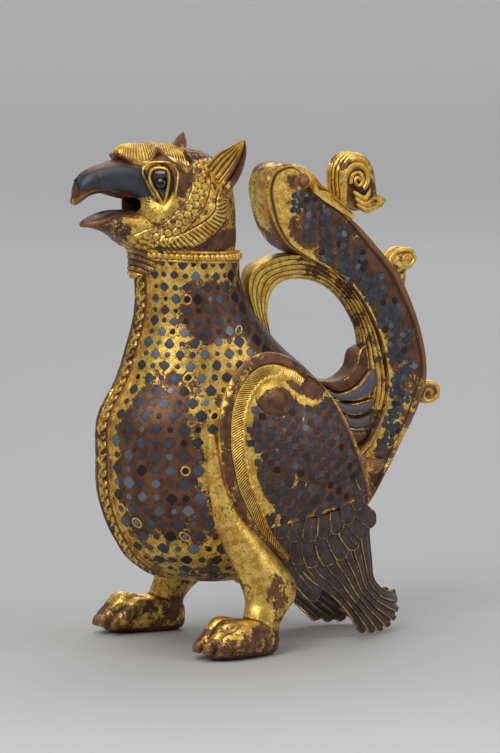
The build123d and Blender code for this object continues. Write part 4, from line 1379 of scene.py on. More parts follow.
    def _make_ear(self, name: str, side: int) -> None:
        """Ear: a sheet between its front and rear edges, dished, with long ridges and two rolled rear rims."""
        front, rear = curve(self.ear_front, 110), curve(self.ear_rear, 110)
        u = np.linspace(0, 1, 110)[:, None]
        v = np.linspace(0, 1, 60)[None]
        sheet = front[:, None] * (1 - v[..., None]) + rear[:, None] * v[..., None]
        along = unit(np.gradient(sheet, axis=0))
        across = unit(rear - front + (1e-6, 0, 0))[:, None]
        out = unit(np.cross(along, across))
        out = out * np.sign(-out[..., 1:2])
        room = np.sin(np.pi * np.clip(1 - 0.96 * u, 0, 0.5))
        dish = -1.7 * np.sin(np.pi * v) * room
        lines = 0.24 * np.cos(2 * np.pi * 6.5 * v) * ease(0.64 - v, 0.0, 0.08) * room
        roll = (1.3 * ridge(v, 0.89, 0.11) + 0.8 * ridge(v, 0.70, 0.07) + 0.4 * ridge(v, 0.04, 0.04)) * room
        face = sheet + (dish + lines + roll)[..., None] * out
        back = sheet + (dish - 1.5 * np.sqrt(np.clip(1.02 - (2 * v - 1) ** 2, 0, 1)) * room - 0.1)[..., None] * out
        gilt = 0.85 - 0.55 * ease(v, 0.62, 0.68) + 0.0 * u
        grid = np.concatenate([face, back[:, ::-1]], axis=1) * (1, -side, 1)
        shells = Shells()
        shells.add(grid, gilt=np.concatenate([gilt, 0.4 + 0.0 * gilt[:, ::-1]], axis=1))
        mesh = shells.mesh(name + "_ear_leaf")
        finish_piece(name + "_ear_leaf", mesh, self.finishes.ornament, (name + "_ear",))

    def _make_plates(self) -> None:
        """Dark plates on the beak: a patch between two curves in the side view, laid on the head's skin."""
        top = curve(((-69.3, 157.3), (-66.4, 159.3), (-63.2, 160.6), (-55.5, 161.8), (-47.6, 160.6)), 70)
        low = curve(
            (
                (-69.5, 153.8),
                (-67.0, 154.3),
                (-62.9, 154.7),
                (-59.3, 154.1),
                (-52.1, 152.6),
                (-46.8, 149.6),
                (-43.4, 148.2),
            ),
            70,
        )
        share = np.linspace(0, 1, 30)[None]
        flat = top[:, None] * (1 - share[..., None]) + low[:, None] * share[..., None]
        way = np.linspace(0, 1, 70)[:, None]
        rim = np.minimum(np.minimum(share, 1 - share) * 8, np.minimum(way, 1 - way) * 25)
        seam = ridge(flat[..., 0] + 63.4, 0.0, 0.35)
        edge = np.maximum(1 - ease(rim, 0.1, 0.9), seam)
        tone = 0.42 - 0.34 * ease(-flat[..., 0], 63.0, 64.0)
        for name, side in SIDES.items():
            outer = lay_on(self.skin, flat, side_view(side), 0.14 - 0.1 * seam)
            inner = lay_on(self.skin, flat, side_view(side), -0.5)
            values = {"edge": edge, "tone": tone}
            values = {key: np.concatenate([v, v[:, ::-1]], axis=1) for key, v in values.items()}
            shells = Shells()
            shells.add(np.concatenate([outer, inner[:, ::-1]], axis=1), **values)
            mesh = shells.mesh(name + "_beak_silver")
            replaced = (name + "_beak_inlay",)
            finish_piece(name + "_beak_silver", mesh, self.finishes.silver, replaced)


def inside(places: Array, outline: Array) -> Array:
    """Which places (n, 2) lie inside a closed outline, by counting the edges that a level line meets."""
    x, z = places[:, :1], places[:, 1:]
    a, b = outline[None], np.roll(outline, -1, axis=0)[None]
    spans = (a[..., 1] > z) != (b[..., 1] > z)
    rise = np.where(spans, b[..., 1] - a[..., 1], 1.0)
    meet = a[..., 0] + (z - a[..., 1]) * (b[..., 0] - a[..., 0]) / rise
    return (spans & (x < meet)).sum(1) % 2 == 1


@dataclass
class Wing:
    """One folded wing: shoulder plate and border, two rows of coverts and the long feathers."""

    finishes: Finishes
    half_width: float = 31.5
    # Height, centre X, half length, half width as a share of the belly's
    form: Rows = (
        (-1.0, 11.0, 46.0, 0.51),
        (20.0, 6.0, 44.0, 0.79),
        (40.0, 2.0, 45.0, 1.02),
        (60.0, -1.0, 47.0, 1.16),
        (75.0, -4.0, 44.0, 1.14),
        (88.0, -7.0, 38.0, 0.98),
        (98.0, -11.0, 30.0, 0.76),
        (106.0, -14.5, 20.0, 0.48),
    )
    front: Rows = (
        (1.5, 91.2),
        (-1.5, 94.6),
        (-6.5, 97.6),
        (-12.0, 98.4),
        (-19.0, 96.5),
        (-24.6, 92.0),
        (-28.6, 86.0),
        (-31.0, 78.5),
        (-31.6, 70.0),
        (-30.4, 62.0),
        (-27.7, 53.0),
        (-24.0, 46.5),
        (-19.5, 41.0),
    )
    back: Rows = (
        (2.0, 91.0),
        (5.0, 88.6),
        (10.0, 83.0),
        (14.4, 74.6),
        (18.6, 66.0),
        (22.2, 58.0),
        (25.0, 51.0),
    )
    # The border goes on past the plate's front edge
    border_end: Rows = ((-12.5, 35.2), (-6.5, 30.4))
    border_width: float = 8.5
    plate_proud: float = 1.3
    boss: tuple = (-12.0, 85.0, 6.4, 5.2, 1.9)
    # Centre of the arcs that the chequer's rows follow
    chequer_centre: tuple = (-22.0, 0.0)
    # Tips of the rounded ends of the plate and of the coverts, X and Z
    scallop_tips: Rows = (
        (-14.0, 42.2),
        (-9.5, 38.6),
        (-4.4, 37.1),
        (1.3, 36.7),
        (7.1, 37.4),
        (12.3, 38.7),
        (16.8, 41.8),
        (20.7, 46.6),
        (23.2, 53.1),
    )
    covert_tips: Rows = (
        (-10.4, 33.2),
        (-5.2, 29.7),
        (0.0, 29.0),
        (5.7, 27.8),
        (12.0, 28.1),
        (17.4, 29.9),
        (22.3, 33.0),
        (26.2, 36.8),
        (30.2, 40.4),
    )
    first_quill: Rows = ((-8.0, 36.0), (-2.5, 28.0), (4.4, 21.0), (9.8, 16.2))
    # The long feathers share the space between two curves, and each has its own tip
    quill_low: Rows = ((-4.0, 33.0), (4.0, 24.5), (12.0, 19.0), (21.5, 11.6), (26.7, 6.7), (31.9, 2.3))
    quill_high: Rows = ((29.0, 42.0), (30.0, 34.0), (31.7, 28.0), (34.5, 20.0), (40.0, 15.5), (52.0, 12.6))
    quill_tips: Rows = (
        (33.0, 1.9),
        (37.5, 1.5),
        (41.5, 1.6),
        (45.4, 2.8),
        (48.6, 4.8),
        (51.0, 7.6),
        (52.4, 11.0),
    )

    def place(self, x: Array, z: Array, proud: Array | float) -> Array:
        """Left side of the rounded form at (x, z), raised along its normal."""
        points = [self._form(x + dx, z + dz) for dx, dz in ((0.0, 0.0), (0.2, 0.0), (0.0, 0.2))]
        normal = unit(np.cross(points[1] - points[0], points[2] - points[0]))
        normal = normal * -np.sign(normal[..., 1:2] + 1e-9)
        return points[0] + normal * np.asarray(proud)[..., None]

    def _form(self, x: Array, z: Array) -> Array:
        """Left side of the rounded form: level ellipses that follow a smooth curve of the height."""
        centre, half, share = np.moveaxis(hermite(self.form, z), -1, 0)
        reach = np.clip((x - centre) / half, -0.985, 0.985)
        return np.stack([x, -share * self.half_width * np.sqrt(1 - reach ** 2), z], axis=-1)

    def feather(self, shells: Shells, spine: Array, half: Array, lie: float, tilt: float, gilt: float) -> None:
        """Adds one feather.

        Its outline is a strip along a smooth spine with a round tip. Its face is cambered, stands up along
        both rims, is fluted along the quill and tilts across, so that one rim lies over its neighbour.

        Args:
            shells: where it goes.
            spine: points (x, z) from root to tip.
            half: half widths at even steps along the way.
            lie: how far over the form it lies at its root.
            tilt: rise from one rim to the other.
            gilt: gilding of its face.
        """
        count = 64
        path = curve(spine, count)
        along = unit(np.gradient(path, axis=0))
        square = np.stack([-along[:, 1], along[:, 0]], axis=-1)
        way = np.linspace(0, 1, count)
        half = np.interp(way, np.linspace(0, 1, len(half)), half)
        length = np.linalg.norm(np.diff(path, axis=0), axis=1).sum()
        tip = np.clip((1 - way) * length / (half * 1.1), 0, 1)
        wide = half * np.sqrt(np.clip(1 - (1 - tip) ** 2.3, 0.0004, 1))
        v = np.linspace(-1, 1, 25)[None]
        spread = path[:, None] + (wide[:, None] * v)[..., None] * square[:, None]
        from_rim = np.minimum((1 - np.abs(v)) * wide[:, None], (1 - way[:, None]) * length)
        rim = ease(0.55 - from_rim, 0.0, 0.30)
        quill = np.exp(-((v * wide[:, None] / 0.3) ** 2)) * ease(from_rim, 0.8, 1.6)
        face = 0.35 * (1 - v ** 2) + 0.32 * rim + tilt * v * 0.5 + 0.16 * quill
        proud = lie + face - 0.5 * ease(1 - way[:, None], 0.6, 1.0)
        top = self.place(spread[..., 0], spread[..., 1], proud)
        foot = self.place(spread[..., 0], spread[..., 1], proud - 1.5)
        value = gilt + (0.36 - gilt) * np.maximum(rim, 0.6 * quill)
        grid = np.concatenate([top, foot[:, ::-1]], axis=1)
        shells.add(grid, gilt=np.concatenate([value, value[:, ::-1]], axis=1))

    def _shoulder(self, u: Array, v: Array) -> tuple[Array, Array, Array]:
        """Map place and width of the plate: lines from the front edge at v = 0 to the back edge at v = 1."""
        front = hermite(np.column_stack([np.linspace(0, 1, 200), curve(self.front, 200)]), u)
        back = hermite(np.column_stack([np.linspace(0, 1, 200), curve(self.back, 200)]), u)
        place = front + (back - front) * v[..., None]
        return place[..., 0], place[..., 1], np.linalg.norm(back - front, axis=-1)

    def _shoulder_proud(self, x: Array, z: Array, from_back: Array) -> Array:
        """Relief of the plate: a low boss ringed by a groove, and a ridge along the back edge."""
        away = np.hypot((x - self.boss[0]) / self.boss[2], (z - self.boss[1]) / self.boss[3])
        bump = self.boss[4] * np.cos(np.pi / 2 * np.clip(away, 0, 1)) ** 2
        groove = 0.3 * np.exp(-(((away - 1.08) / 0.07) ** 2)) * ease(self.boss[1] + 1.0 - z, -1.0, 3.0)
        return self.plate_proud + bump - groove + 0.55 * ridge(from_back, 1.0, 1.1)

    def shells(self) -> tuple[Shells, Shells, Shells]:
        """Left wing's shoulder, feathers and inlays."""
        shoulder, feathers, silver = Shells(), Shells(), Shells()
        u, v = np.meshgrid(np.linspace(0, 1, 190), np.linspace(0, 1, 110), indexing="ij")
        x, z, width = self._shoulder(u, v)
        from_back = (1 - v) * width
        proud = self._shoulder_proud(x, z, from_back)
        proud[:, [0, -1]] -= 2.0
        from_front = distance_to(np.stack([x, z], axis=-1), self._border()[0][::8])
        gilt = 0.26 + 0.42 * np.exp(-(((from_front - 8.8) / 1.3) ** 2)) + 0.2 * ease(1.6 - from_back, 0.0, 0.6)
        top = self.place(x, z, proud)
        foot = self.place(x, z, np.full_like(proud, -3.0))
        grid = np.concatenate([top, foot[:, ::-1]], axis=1)
        shoulder.add(grid, gilt=np.concatenate([gilt, gilt[:, ::-1]], axis=1))
        self._add_border(shoulder)
        self.feather(feathers, np.array(self.first_quill), np.array([3.0, 3.4, 3.2]), 0.2, -0.7, 0.1)
        low, high = np.array(self.quill_low), np.array(self.quill_high)
        for index, tip in enumerate(self.quill_tips):
            share = (index + 0.5) / len(self.quill_tips)
            spine = low * (1 - share) + high * share
            spine[-1] = tip
            half = np.linalg.norm(high - low, axis=1) / len(self.quill_tips) * 0.68
            half[-1] = max(half[-1], 2.0)
            self.feather(feathers, spine, np.maximum(half, 1.5), -0.1 - 0.10 * index, -0.8, 0.1)
        for tips, away, length, half, lie, tilt, gilt in (
            (self.covert_tips, (-14.0, 70.0), 13.0, 3.15, 0.5, -0.4, 0.12),
            (self.scallop_tips, (0.0, 86.0), 8.0, 2.95, 1.0, -0.1, 0.16),
        ):
            for tip in np.array(tips):
                way = unit(tip - np.array(away))
                bend = np.array([-way[1], way[0]]) * 0.05 * length
                spine = np.stack([tip - way * length, tip - way * length * 0.5 - bend, tip])
                self.feather(feathers, spine, np.array([half * 0.9, half, half]), lie, tilt, gilt)
        self._add_checkers(silver)
        return shoulder, feathers, silver

    def _add_checkers(self, silver: Shells) -> None:
        """Silver squares in a chequer whose rows are arcs round one centre, rounder in the lowest rows."""
        rng = np.random.default_rng(11)
        outline = np.concatenate([curve(self.front, 120), curve(self.back, 80)[::-1]])
        front, back = self._border()[0][::6], curve(self.back, 120)
        centre = np.array(self.chequer_centre)
        for first, rows, pitch, spacing, half, power in ((62.5, 18, 2.1, 4.2, 1.16, 4.0), (46.6, 5, 3.1, 4.3, 1.52, 2.7)):
            i, j = np.meshgrid(np.arange(rows), np.arange(-8, 24), indexing="ij")
            radius = first + pitch * i
            arc = spacing * (j + 0.5 * (i % 2))
            turn = (np.pi / 2 - arc / radius).reshape(-1)
            radius = radius.reshape(-1)
            out = np.stack([np.cos(turn), np.sin(turn)], axis=-1)
            centres = centre + radius[:, None] * out
            kept = inside(centres, outline)
            kept &= distance_to(centres, front) > 9.4
            kept &= distance_to(centres, back) > 1.8
            away = (centres - self.boss[:2]) / (self.boss[2] + 0.8, self.boss[3] + 0.8)
            kept &= np.linalg.norm(away, axis=1) > 1.0
            centres, out = centres[kept], out[kept]
            grid, heights = studs(np.zeros_like(centres), np.full(len(centres), half), 12, power, rng)
            side = np.stack([out[:, 1], -out[:, 0]], axis=-1)
            places = grid[..., :1] * side[:, None, None] + grid[..., 1:] * out[:, None, None]
            places = places + centres[:, None, None]
            proud = self._shoulder_proud(places[..., 0], places[..., 1], np.full(places.shape[:3], 9.0))
            points = self.place(places[..., 0], places[..., 1], proud + heights[None, :, None])
            tone = np.clip(rng.normal(0.24, 0.26, len(centres)), 0.0, 1.2)
            tone = np.where(rng.random(len(centres)) < 0.08, -1.0, tone)[:, None, None]
            edge = np.broadcast_to(np.array([1.0, 1.0, 0.0])[None, :, None], grid.shape[:3])
            silver.add(points, tone=np.broadcast_to(tone, grid.shape[:3]), edge=edge)

    def make(self) -> None:
        """Builds both wings, the right one as the left one's mirror image."""
        shoulder, feathers, silver = self.shells()
        for name, side in SIDES.items():
            parts = [p if side == LEFT else p.mirrored() for p in (shoulder, feathers, silver)]
            node = name + "_wing"
            finish_piece(node + "_shoulder", parts[0].mesh(node), self.finishes.bare, (node,))
            finish_piece(node + "_feathers", parts[1].mesh(node), self.finishes.feathers)
            silver_mesh = parts[2].mesh(node)
            finish_piece(node + "_silver", silver_mesh, self.finishes.silver, (node + "_inlays",), sharp=80)

    def _border(self) -> tuple[Array, Array, Array]:
        """The border's front edge, its inward directions and its share of the full width."""
        path = curve(np.concatenate([np.array(self.front), np.array(self.border_end)]), 760)
        along = unit(np.gradient(path, axis=0))
        way = np.linspace(0, 1, len(path))
        share = 1 - 0.70 * ease(way, 0.72, 1.0) - 0.35 * ease(0.10 - way, 0.0, 0.10)
        return path, np.stack([-along[:, 1], along[:, 0]], axis=-1), share

    def _add_border(self, shoulder: Shells) -> None:
        """Border strip: smooth ridge, gold line, oblique hatch and a lobed inner ridge, side by side."""
        path, inward, share = self._border()
        way = np.concatenate([[0.0], np.cumsum(np.linalg.norm(np.diff(path, axis=0), axis=1))])[:, None]
        across = np.linspace(0, self.border_width, 44)[None]
        depth = across * share[:, None]
        lobes = 7.1 + 0.4 * np.abs(np.sin(np.pi * way / 2.6))
        height = 1.25 * ridge(across, 1.75, 1.8) * (0.6 + 0.4 * share[:, None])
        height = height + 0.22 * np.exp(-(((across - 3.75) / 0.25) ** 2))
        hatched = ease(across, 3.95, 4.2) * ease(lobes - 0.4 - across, -0.2, 0.1)
        height = height + hatched * (0.1 + 0.17 * np.cos(2 * np.pi * (way + 0.9 * depth) / 0.98))
        height = height + 0.5 * np.exp(-(((across - lobes) / 0.36) ** 2))
        proud = self.plate_proud + 0.35 + height - 1.6 * ease(across, 8.0, 8.5)
        proud[:, 0] -= 2.0
        x = path[:, :1] + inward[:, :1] * depth
        z = path[:, 1:] + inward[:, 1:] * depth
        gilt = 0.36 + 0.45 * ease(across, 3.3, 3.7) - 0.25 * ease(across, 7.8, 8.3) + 0.0 * way
        top = self.place(x, z, proud)
        under = [0, 15, 28, 43]
        foot = self.place(x[:, under], z[:, under], np.full((len(path), 4), -2.0))
        values = np.concatenate([gilt, gilt[:, under][:, ::-1]], axis=1)
        shoulder.add(np.concatenate([top, foot[:, ::-1]], axis=1), gilt=values)


@dataclass
class Leg:
    """Lion's leg with a splayed paw."""

    finishes: Finishes
    # Height, centre X, distance of the centre from the middle plane, half length, half width
    shank: Rows = (
        (4.0, -17.0, 33.0, 5.6, 4.6),
        (9.0, -17.6, 32.6, 6.2, 5.0),
        (13.0, -16.2, 32.1, 7.3, 5.2),
        (18.0, -13.2, 30.9, 9.0, 5.9),
        (23.0, -13.4, 29.9, 10.0, 6.2),
        (30.0, -17.0, 28.4, 8.8, 6.6),
        (38.0, -21.8, 26.6, 7.6, 6.8),
        (46.0, -27.2, 26.0, 6.2, 5.6),
        (56.0, -31.0, 27.0, 4.4, 3.6),
        (66.0, -32.8, 27.6, 3.2, 2.6),
        (74.0, -33.6, 27.6, 1.4, 1.2),
    )
    # Toes: start, knuckle and tip (X, distance out, Z), half width at the knuckle
    toes: tuple = (
        ((-20.0, 28.6, 8.6), (-31.6, 28.4, 9.0), (-38.0, 28.0, 4.2), 2.9),
        ((-22.0, 32.0, 9.6), (-33.6, 32.2, 10.4), (-40.6, 32.6, 4.4), 3.1),
        ((-22.0, 36.0, 9.2), (-33.0, 37.0, 9.9), (-39.8, 37.6, 4.2), 3.1),
        ((-19.0, 38.2, 6.8), (-28.4, 39.6, 7.2), (-34.6, 39.8, 3.6), 2.5),
    )
    # Paw: X, distance out, centre height, half width, half height
    paw: Rows = (
        (-12.0, 31.6, 5.2, 3.4, 4.6),
        (-15.0, 32.0, 5.6, 5.2, 6.0),
        (-21.0, 33.0, 6.0, 7.0, 6.4),
        (-29.0, 34.2, 6.0, 8.4, 6.2),
        (-35.0, 35.0, 5.0, 7.4, 4.8),
        (-38.6, 35.2, 4.0, 5.6, 3.2),
    )

    def make(self) -> None:
        """Builds the left leg in one skin, and the right one as its mirror image."""
        shells = Shells()
        z = np.linspace(self.shank[0][0], self.shank[-1][0], 70)
        x, y, long, wide = np.moveaxis(hermite(self.shank, z), -1, 0)
        c, s = loop(48)
        shank = np.stack([x[:, None] + long[:, None] * c, -y[:, None] + wide[:, None] * s, z[:, None] + 0 * c], axis=-1)
        shells.add(shank)
        forward = np.linspace(-self.paw[0][0], -self.paw[-1][0], 50)
        rows = tuple((-row[0], *row[1:]) for row in self.paw)
        y, z, wide, tall = np.moveaxis(hermite(rows, forward), -1, 0)
        c, s = loop(40, 2.3)
        paw = [-forward[:, None] + 0 * c, -y[:, None] + wide[:, None] * c, z[:, None] + tall[:, None] * s]
        shells.add(np.stack(paw, axis=-1))
        for start, knuckle, tip, half in self.toes:
            self._add_toe(shells, start, knuckle, tip, half)
        mesh = one_skin(shells, "left_paw", 0.42, 3)
        points, normals = points_of(mesh)
        points[:, 2] = np.maximum(points[:, 2], 0.0) + 0.0
        set_points(mesh, points)
        points, _ = points_of(mesh)
        x, y, z = points.T
        gilt = 0.68 - 0.24 * ease(14.0 - z, 0.0, 6.0) - 0.35 * blob(x, z, (-12.0, 21.0, 5.0, 6.0))
        gilt += 0.25 * blob(x, z, (-22.0, 38.0, 6.0, 12.0)) - 0.4 * ease(2.5 - z, 0.0, 1.5)
        store(mesh, "gilt", gilt)
        twin = mesh.copy()
        mirrored = points * (1, -1, 1)
        set_points(twin, mirrored)
        twin.flip_normals()
        finish_piece("left_paw", mesh, self.finishes.gilt, ("left_leg",))
        finish_piece("right_paw", twin, self.finishes.gilt, ("right_leg",))

    def _add_toe(self, shells: Shells, start: tuple, knuckle: tuple, tip: tuple, half: float) -> None:
        """A toe: a rod over start, knuckle and tip, thickest at the knuckle, with a blunt claw in its end."""
        path = curve((start, knuckle, tip), 40) * (1, -1, 1)
        way = np.linspace(0, 1, 40)
        radius = half * (0.80 + 0.32 * np.exp(-(((way - 0.56) / 0.15) ** 2)) + 0.06 * ease(way, 0.75, 0.95))
        radius = radius * np.sqrt(np.clip((1.02 - way) / 0.10, 0.02, 1.0))
        shells.add(tube(path, radius, 20))
        end = np.array(tip) * (1, -1, 1)
        claw = curve((end + (1.5, 0, 1.2), end + (-0.9, 0, 0.2), end + (-1.6, 0, -1.8)), 20)
        shells.add(tube(claw, np.linspace(2.1, 1.5, 20), 12))


@dataclass
class Tail:
    """Tail handle with its panels, ring, palmette, rolls and volutes."""

    finishes: Finishes
    half_thickness: float = 6.4
    bevel: float = 1.3
    inner_edge: Rows = (
        (12.8, 157.6),
        (8.6, 160.0),
        (5.2, 159.8),
        (1.8, 158.2),
        (0.0, 154.9),
        (-0.5, 150.9),
        (0.4, 145.8),
        (2.6, 139.0),
        (7.2, 132.7),
        (13.0, 129.2),
        (19.8, 126.0),
        (27.4, 122.4),
        (34.6, 115.6),
        (40.2, 107.3),
        (44.0, 99.5),
        (46.6, 90.4),
        (47.2, 81.6),
        (45.0, 73.4),
        (41.0, 66.0),
        (34.0, 60.0),
    )
    outer_edge: Rows = (
        (16.4, 149.9),
        (24.0, 145.4),
        (33.3, 140.0),
        (43.1, 130.6),
        (52.2, 120.0),
        (56.2, 112.3),
        (59.3, 104.7),
        (61.3, 97.8),
        (62.6, 90.9),
        (62.6, 84.1),
        (60.6, 78.1),
        (57.1, 70.8),
        (53.1, 64.2),
        (47.2, 54.3),
        (39.4, 42.9),
        (34.0, 38.0),
    )
    pin: tuple = (13.6, 153.5)
    seat: tuple = ((16.4, 149.9), (33.3, 140.0))
    # Matching points of the ring's inner and outer edge, from its tip round to the tail's root
    ring_edges: tuple = (
        ((6.6, 98.0), (6.0, 97.6)),
        ((5.0, 101.6), (3.0, 100.6)),
        ((3.9, 106.1), (-0.6, 106.3)),
        ((3.5, 110.5), (-3.6, 112.6)),
        ((4.2, 114.5), (-5.4, 118.2)),
        ((6.2, 118.0), (-4.6, 124.0)),
        ((9.8, 120.1), (2.6, 128.0)),
        ((15.0, 120.5), (13.0, 129.2)),
        ((20.9, 119.6), (22.6, 125.6)),
        ((26.1, 117.3), (29.5, 121.0)),
        ((31.3, 113.1), (35.9, 114.6)),
        ((35.2, 107.8), (40.6, 107.2)),
        ((37.8, 102.6), (43.4, 101.4)),
        ((38.9, 96.3), (45.4, 95.4)),
        ((39.2, 90.0), (46.8, 89.6)),
        ((39.6, 83.0), (47.4, 82.0)),
        ((39.4, 76.0), (45.8, 75.0)),
    )
    # Upper and lower edge of each crescent, and its half thickness
    crescents: tuple = (
        (
            ((14.5, 85.8), (21.8, 86.4), (29.6, 86.0), (34.8, 89.6), (37.2, 95.7), (39.6, 96.9)),
            ((14.5, 85.2), (21.8, 84.7), (29.6, 82.0), (36.1, 84.4), (40.7, 89.8), (39.9, 96.5)),
            4.9,
        ),
        (
            ((16.0, 85.2), (21.1, 84.7), (28.3, 81.7), (36.1, 84.2), (41.1, 88.7), (44.2, 89.3)),
            ((16.0, 84.6), (24.7, 80.8), (32.2, 78.5), (40.1, 79.1), (44.6, 84.0), (44.5, 89.0)),
            4.6,
        ),
        (
            ((19.0, 82.8), (24.7, 80.6), (32.2, 78.1), (40.1, 78.8), (44.2, 79.4)),
            ((19.0, 82.0), (24.0, 78.4), (29.6, 75.2), (36.2, 73.1), (42.0, 75.0), (44.4, 79.0)),
            4.3,
        ),
        (
            ((23.0, 78.6), (29.6, 74.9), (36.2, 72.8), (42.6, 74.0)),
            ((23.0, 77.8), (27.2, 73.4), (32.2, 70.5), (36.8, 68.8), (41.7, 70.5), (42.8, 73.6)),
            4.0,
        ),
        (
            ((27.0, 73.0), (32.9, 69.9), (37.5, 68.0), (41.6, 68.4)),
            ((27.0, 72.2), (31.5, 66.5), (36.0, 63.8), (39.4, 63.9), (41.8, 68.0)),
            3.8,
        ),
    )
    upper_volute: Rows = (
        (48.0, 123.5),
        (51.5, 127.4),
        (56.0, 129.2),
        (60.2, 128.2),
        (61.1, 125.3),
        (59.6, 122.6),
        (57.4, 121.6),
        (56.9, 117.8),
        (54.6, 112.0),
        (50.0, 118.0),
    )
    upper_cord: Rows = (
        (50.4, 119.0),
        (49.6, 123.8),
        (51.8, 127.4),
        (55.0, 128.6),
        (58.6, 128.0),
        (60.0, 125.6),
        (58.8, 123.6),
        (56.4, 123.4),
        (55.4, 125.2),
        (56.8, 126.9),
        (58.0, 125.9),
    )
    lower_volute: Rows = (
        (60.5, 85.2),
        (63.4, 83.4),
        (66.8, 83.3),
        (70.0, 81.4),
        (70.3, 78.2),
        (68.4, 76.0),
        (65.0, 75.6),
        (61.0, 76.6),
        (57.0, 74.0),
        (57.0, 84.0),
    )
    lower_cord: Rows = (
        (59.6, 83.4),
        (62.8, 82.8),
        (66.4, 82.6),
        (69.0, 81.0),
        (69.2, 78.4),
        (67.1, 76.8),
        (64.4, 77.0),
        (63.8, 79.2),
        (65.4, 80.6),
        (67.0, 79.6),
        (66.4, 78.6),
    )

    def make(self) -> None:
        """Builds the tail and all that stands on it."""
        self._make_shell()
        self._make_flowers()
        self._make_ring()
        self._make_palmette()
        self._make_rolls()
        self._make_volutes()
        self._make_pin()

    def _edges(self, count: int) -> tuple[Array, Array]:
        """Matching points of the inner and outer edge."""
        return curve(self.inner_edge, count), curve(self.outer_edge, count)

    def _section(self) -> tuple[Array, Array, Array]:
        """Outline of the tail's section: share across, millimetres from that edge, and share of thickness."""
        side, corner, edge = np.linspace(0, 1, 44), np.linspace(0, 1, 5)[1:-1], np.linspace(-1, 1, 12)
        share = [side, np.ones(3), np.ones(12), np.ones(3), side[::-1], np.zeros(3), np.zeros(12), np.zeros(3)]
        round_in = self.bevel * (1 - np.sin(corner * np.pi / 2))
        round_out = self.bevel * (1 - np.cos(corner * np.pi / 2))
        inset = [0 * side, round_out[::-1] * 0 + round_in, 0 * edge, round_in[::-1]]
        flat = np.where(side < 0.5, self.bevel, self.bevel)
        inset[0] = flat
        inset = [*inset, flat, round_in, 0 * edge, round_in[::-1]]
        half = self.half_thickness
        y = [-half + 0 * side, -half + round_out, edge * (half - self.bevel), half - round_out[::-1]]
        y = [*y, half + 0 * side, half - round_out, -edge * (half - self.bevel), -half + round_out[::-1]]
        return np.concatenate(share), np.concatenate(inset), np.concatenate(y)

    def _make_shell(self) -> None:
        """Tail: a rounded oblong carried from the lid's seat round the bulb and down to the root.

        Each section runs from a point of the inner edge to its match on the outer edge. On the sides, a
        border stands up along both edges and the panel between them is sunk.
        """
        inner, outer = self._edges(260)
        share, inset, y = self._section()
        across = outer - inner
        width = np.linalg.norm(across, axis=1)[:, None]
        way = inset[None] + share[None] * (width - 2 * inset[None])
        beyond = width - way
        on_side = np.abs(y)[None] >= self.half_thickness - 0.01
        sunk = 0.45 * ease(way, 1.7, 2.1) * ease(beyond, 3.0, 3.4) + 0.25 * np.exp(-(((beyond - 2.7) / 0.25) ** 2))
        deep = np.sign(y)[None] * np.where(on_side, sunk, 0.0)
        flat = inner[:, None] + (across / width)[:, None] * way[..., None]
        grid = np.stack([flat[..., 0], y[None] - deep, flat[..., 1]], axis=-1)
        x, z = grid[..., 0], grid[..., 2]
        gilt = np.where(beyond < 3.2, 0.36, 0.29) + 0.46 * np.exp(-(((way - 3.0) / 3.2) ** 2)) * on_side
        gilt = gilt + 0.45 * blob(x, z, (2.0, 150.0, 8.0, 12.0)) + 0.25 * blob(x, z, (50.0, 75.0, 9.0, 20.0))
        gilt = gilt - 0.35 * blob(x, z, (48.0, 122.0, 8.0, 12.0))
        shells = Shells()
        shells.add(grid, gilt=gilt)
        cheeks = Shells()
        c, s = loop(40)
        for side in (-1, 1):
            y_rows = np.array([3.35, 3.35, 6.0, 6.4]) * side
            radius = np.array([0.2, 3.0, 3.0, 2.5])
            disc = [self.pin[0] + radius[:, None] * c, y_rows[:, None] + 0 * c, self.pin[1] + radius[:, None] * s]
            cheeks.add(np.stack(disc, axis=-1), gilt=0.5)
        mesh = without(shells.mesh("tail_skin"), self._cuts())
        cheek_mesh = cheeks.mesh("tail_cheeks")
        finish_piece("tail_skin", mesh, self.finishes.gilt, ("tail_shell",), sharp=40)
        finish_piece("tail_cheeks", cheek_mesh, self.finishes.gilt, sharp=40)

    def _seat_point(self, along: float, over: float) -> Array:
        """Point a way along the lid's seat and a height over it."""
        near, far = (np.array(p) for p in self.seat)
        way = unit(far - near)
        return near + way * along + np.array([-way[1], way[0]]) * over

    def _cuts(self) -> Shells:
        """Space of the filling hole and of the hinge's slot."""
        cuts = Shells()
        corners = [self._seat_point(*p) for p in ((5.0, 3.0), (14.6, 3.0), (14.6, -9.0), (5.0, -9.0))]
        hole = np.array([[(x, y, z) for x, z in corners] for y in (-3.9, 3.9)])
        cuts.add(hole)
        c, s = loop(48)
        slot = [[(self.pin[0] + 5.95 * a, y, self.pin[1] + 5.95 * b) for a, b in zip(c, s)] for y in (-3.35, 3.35)]
        cuts.add(np.array(slot))
        return cuts

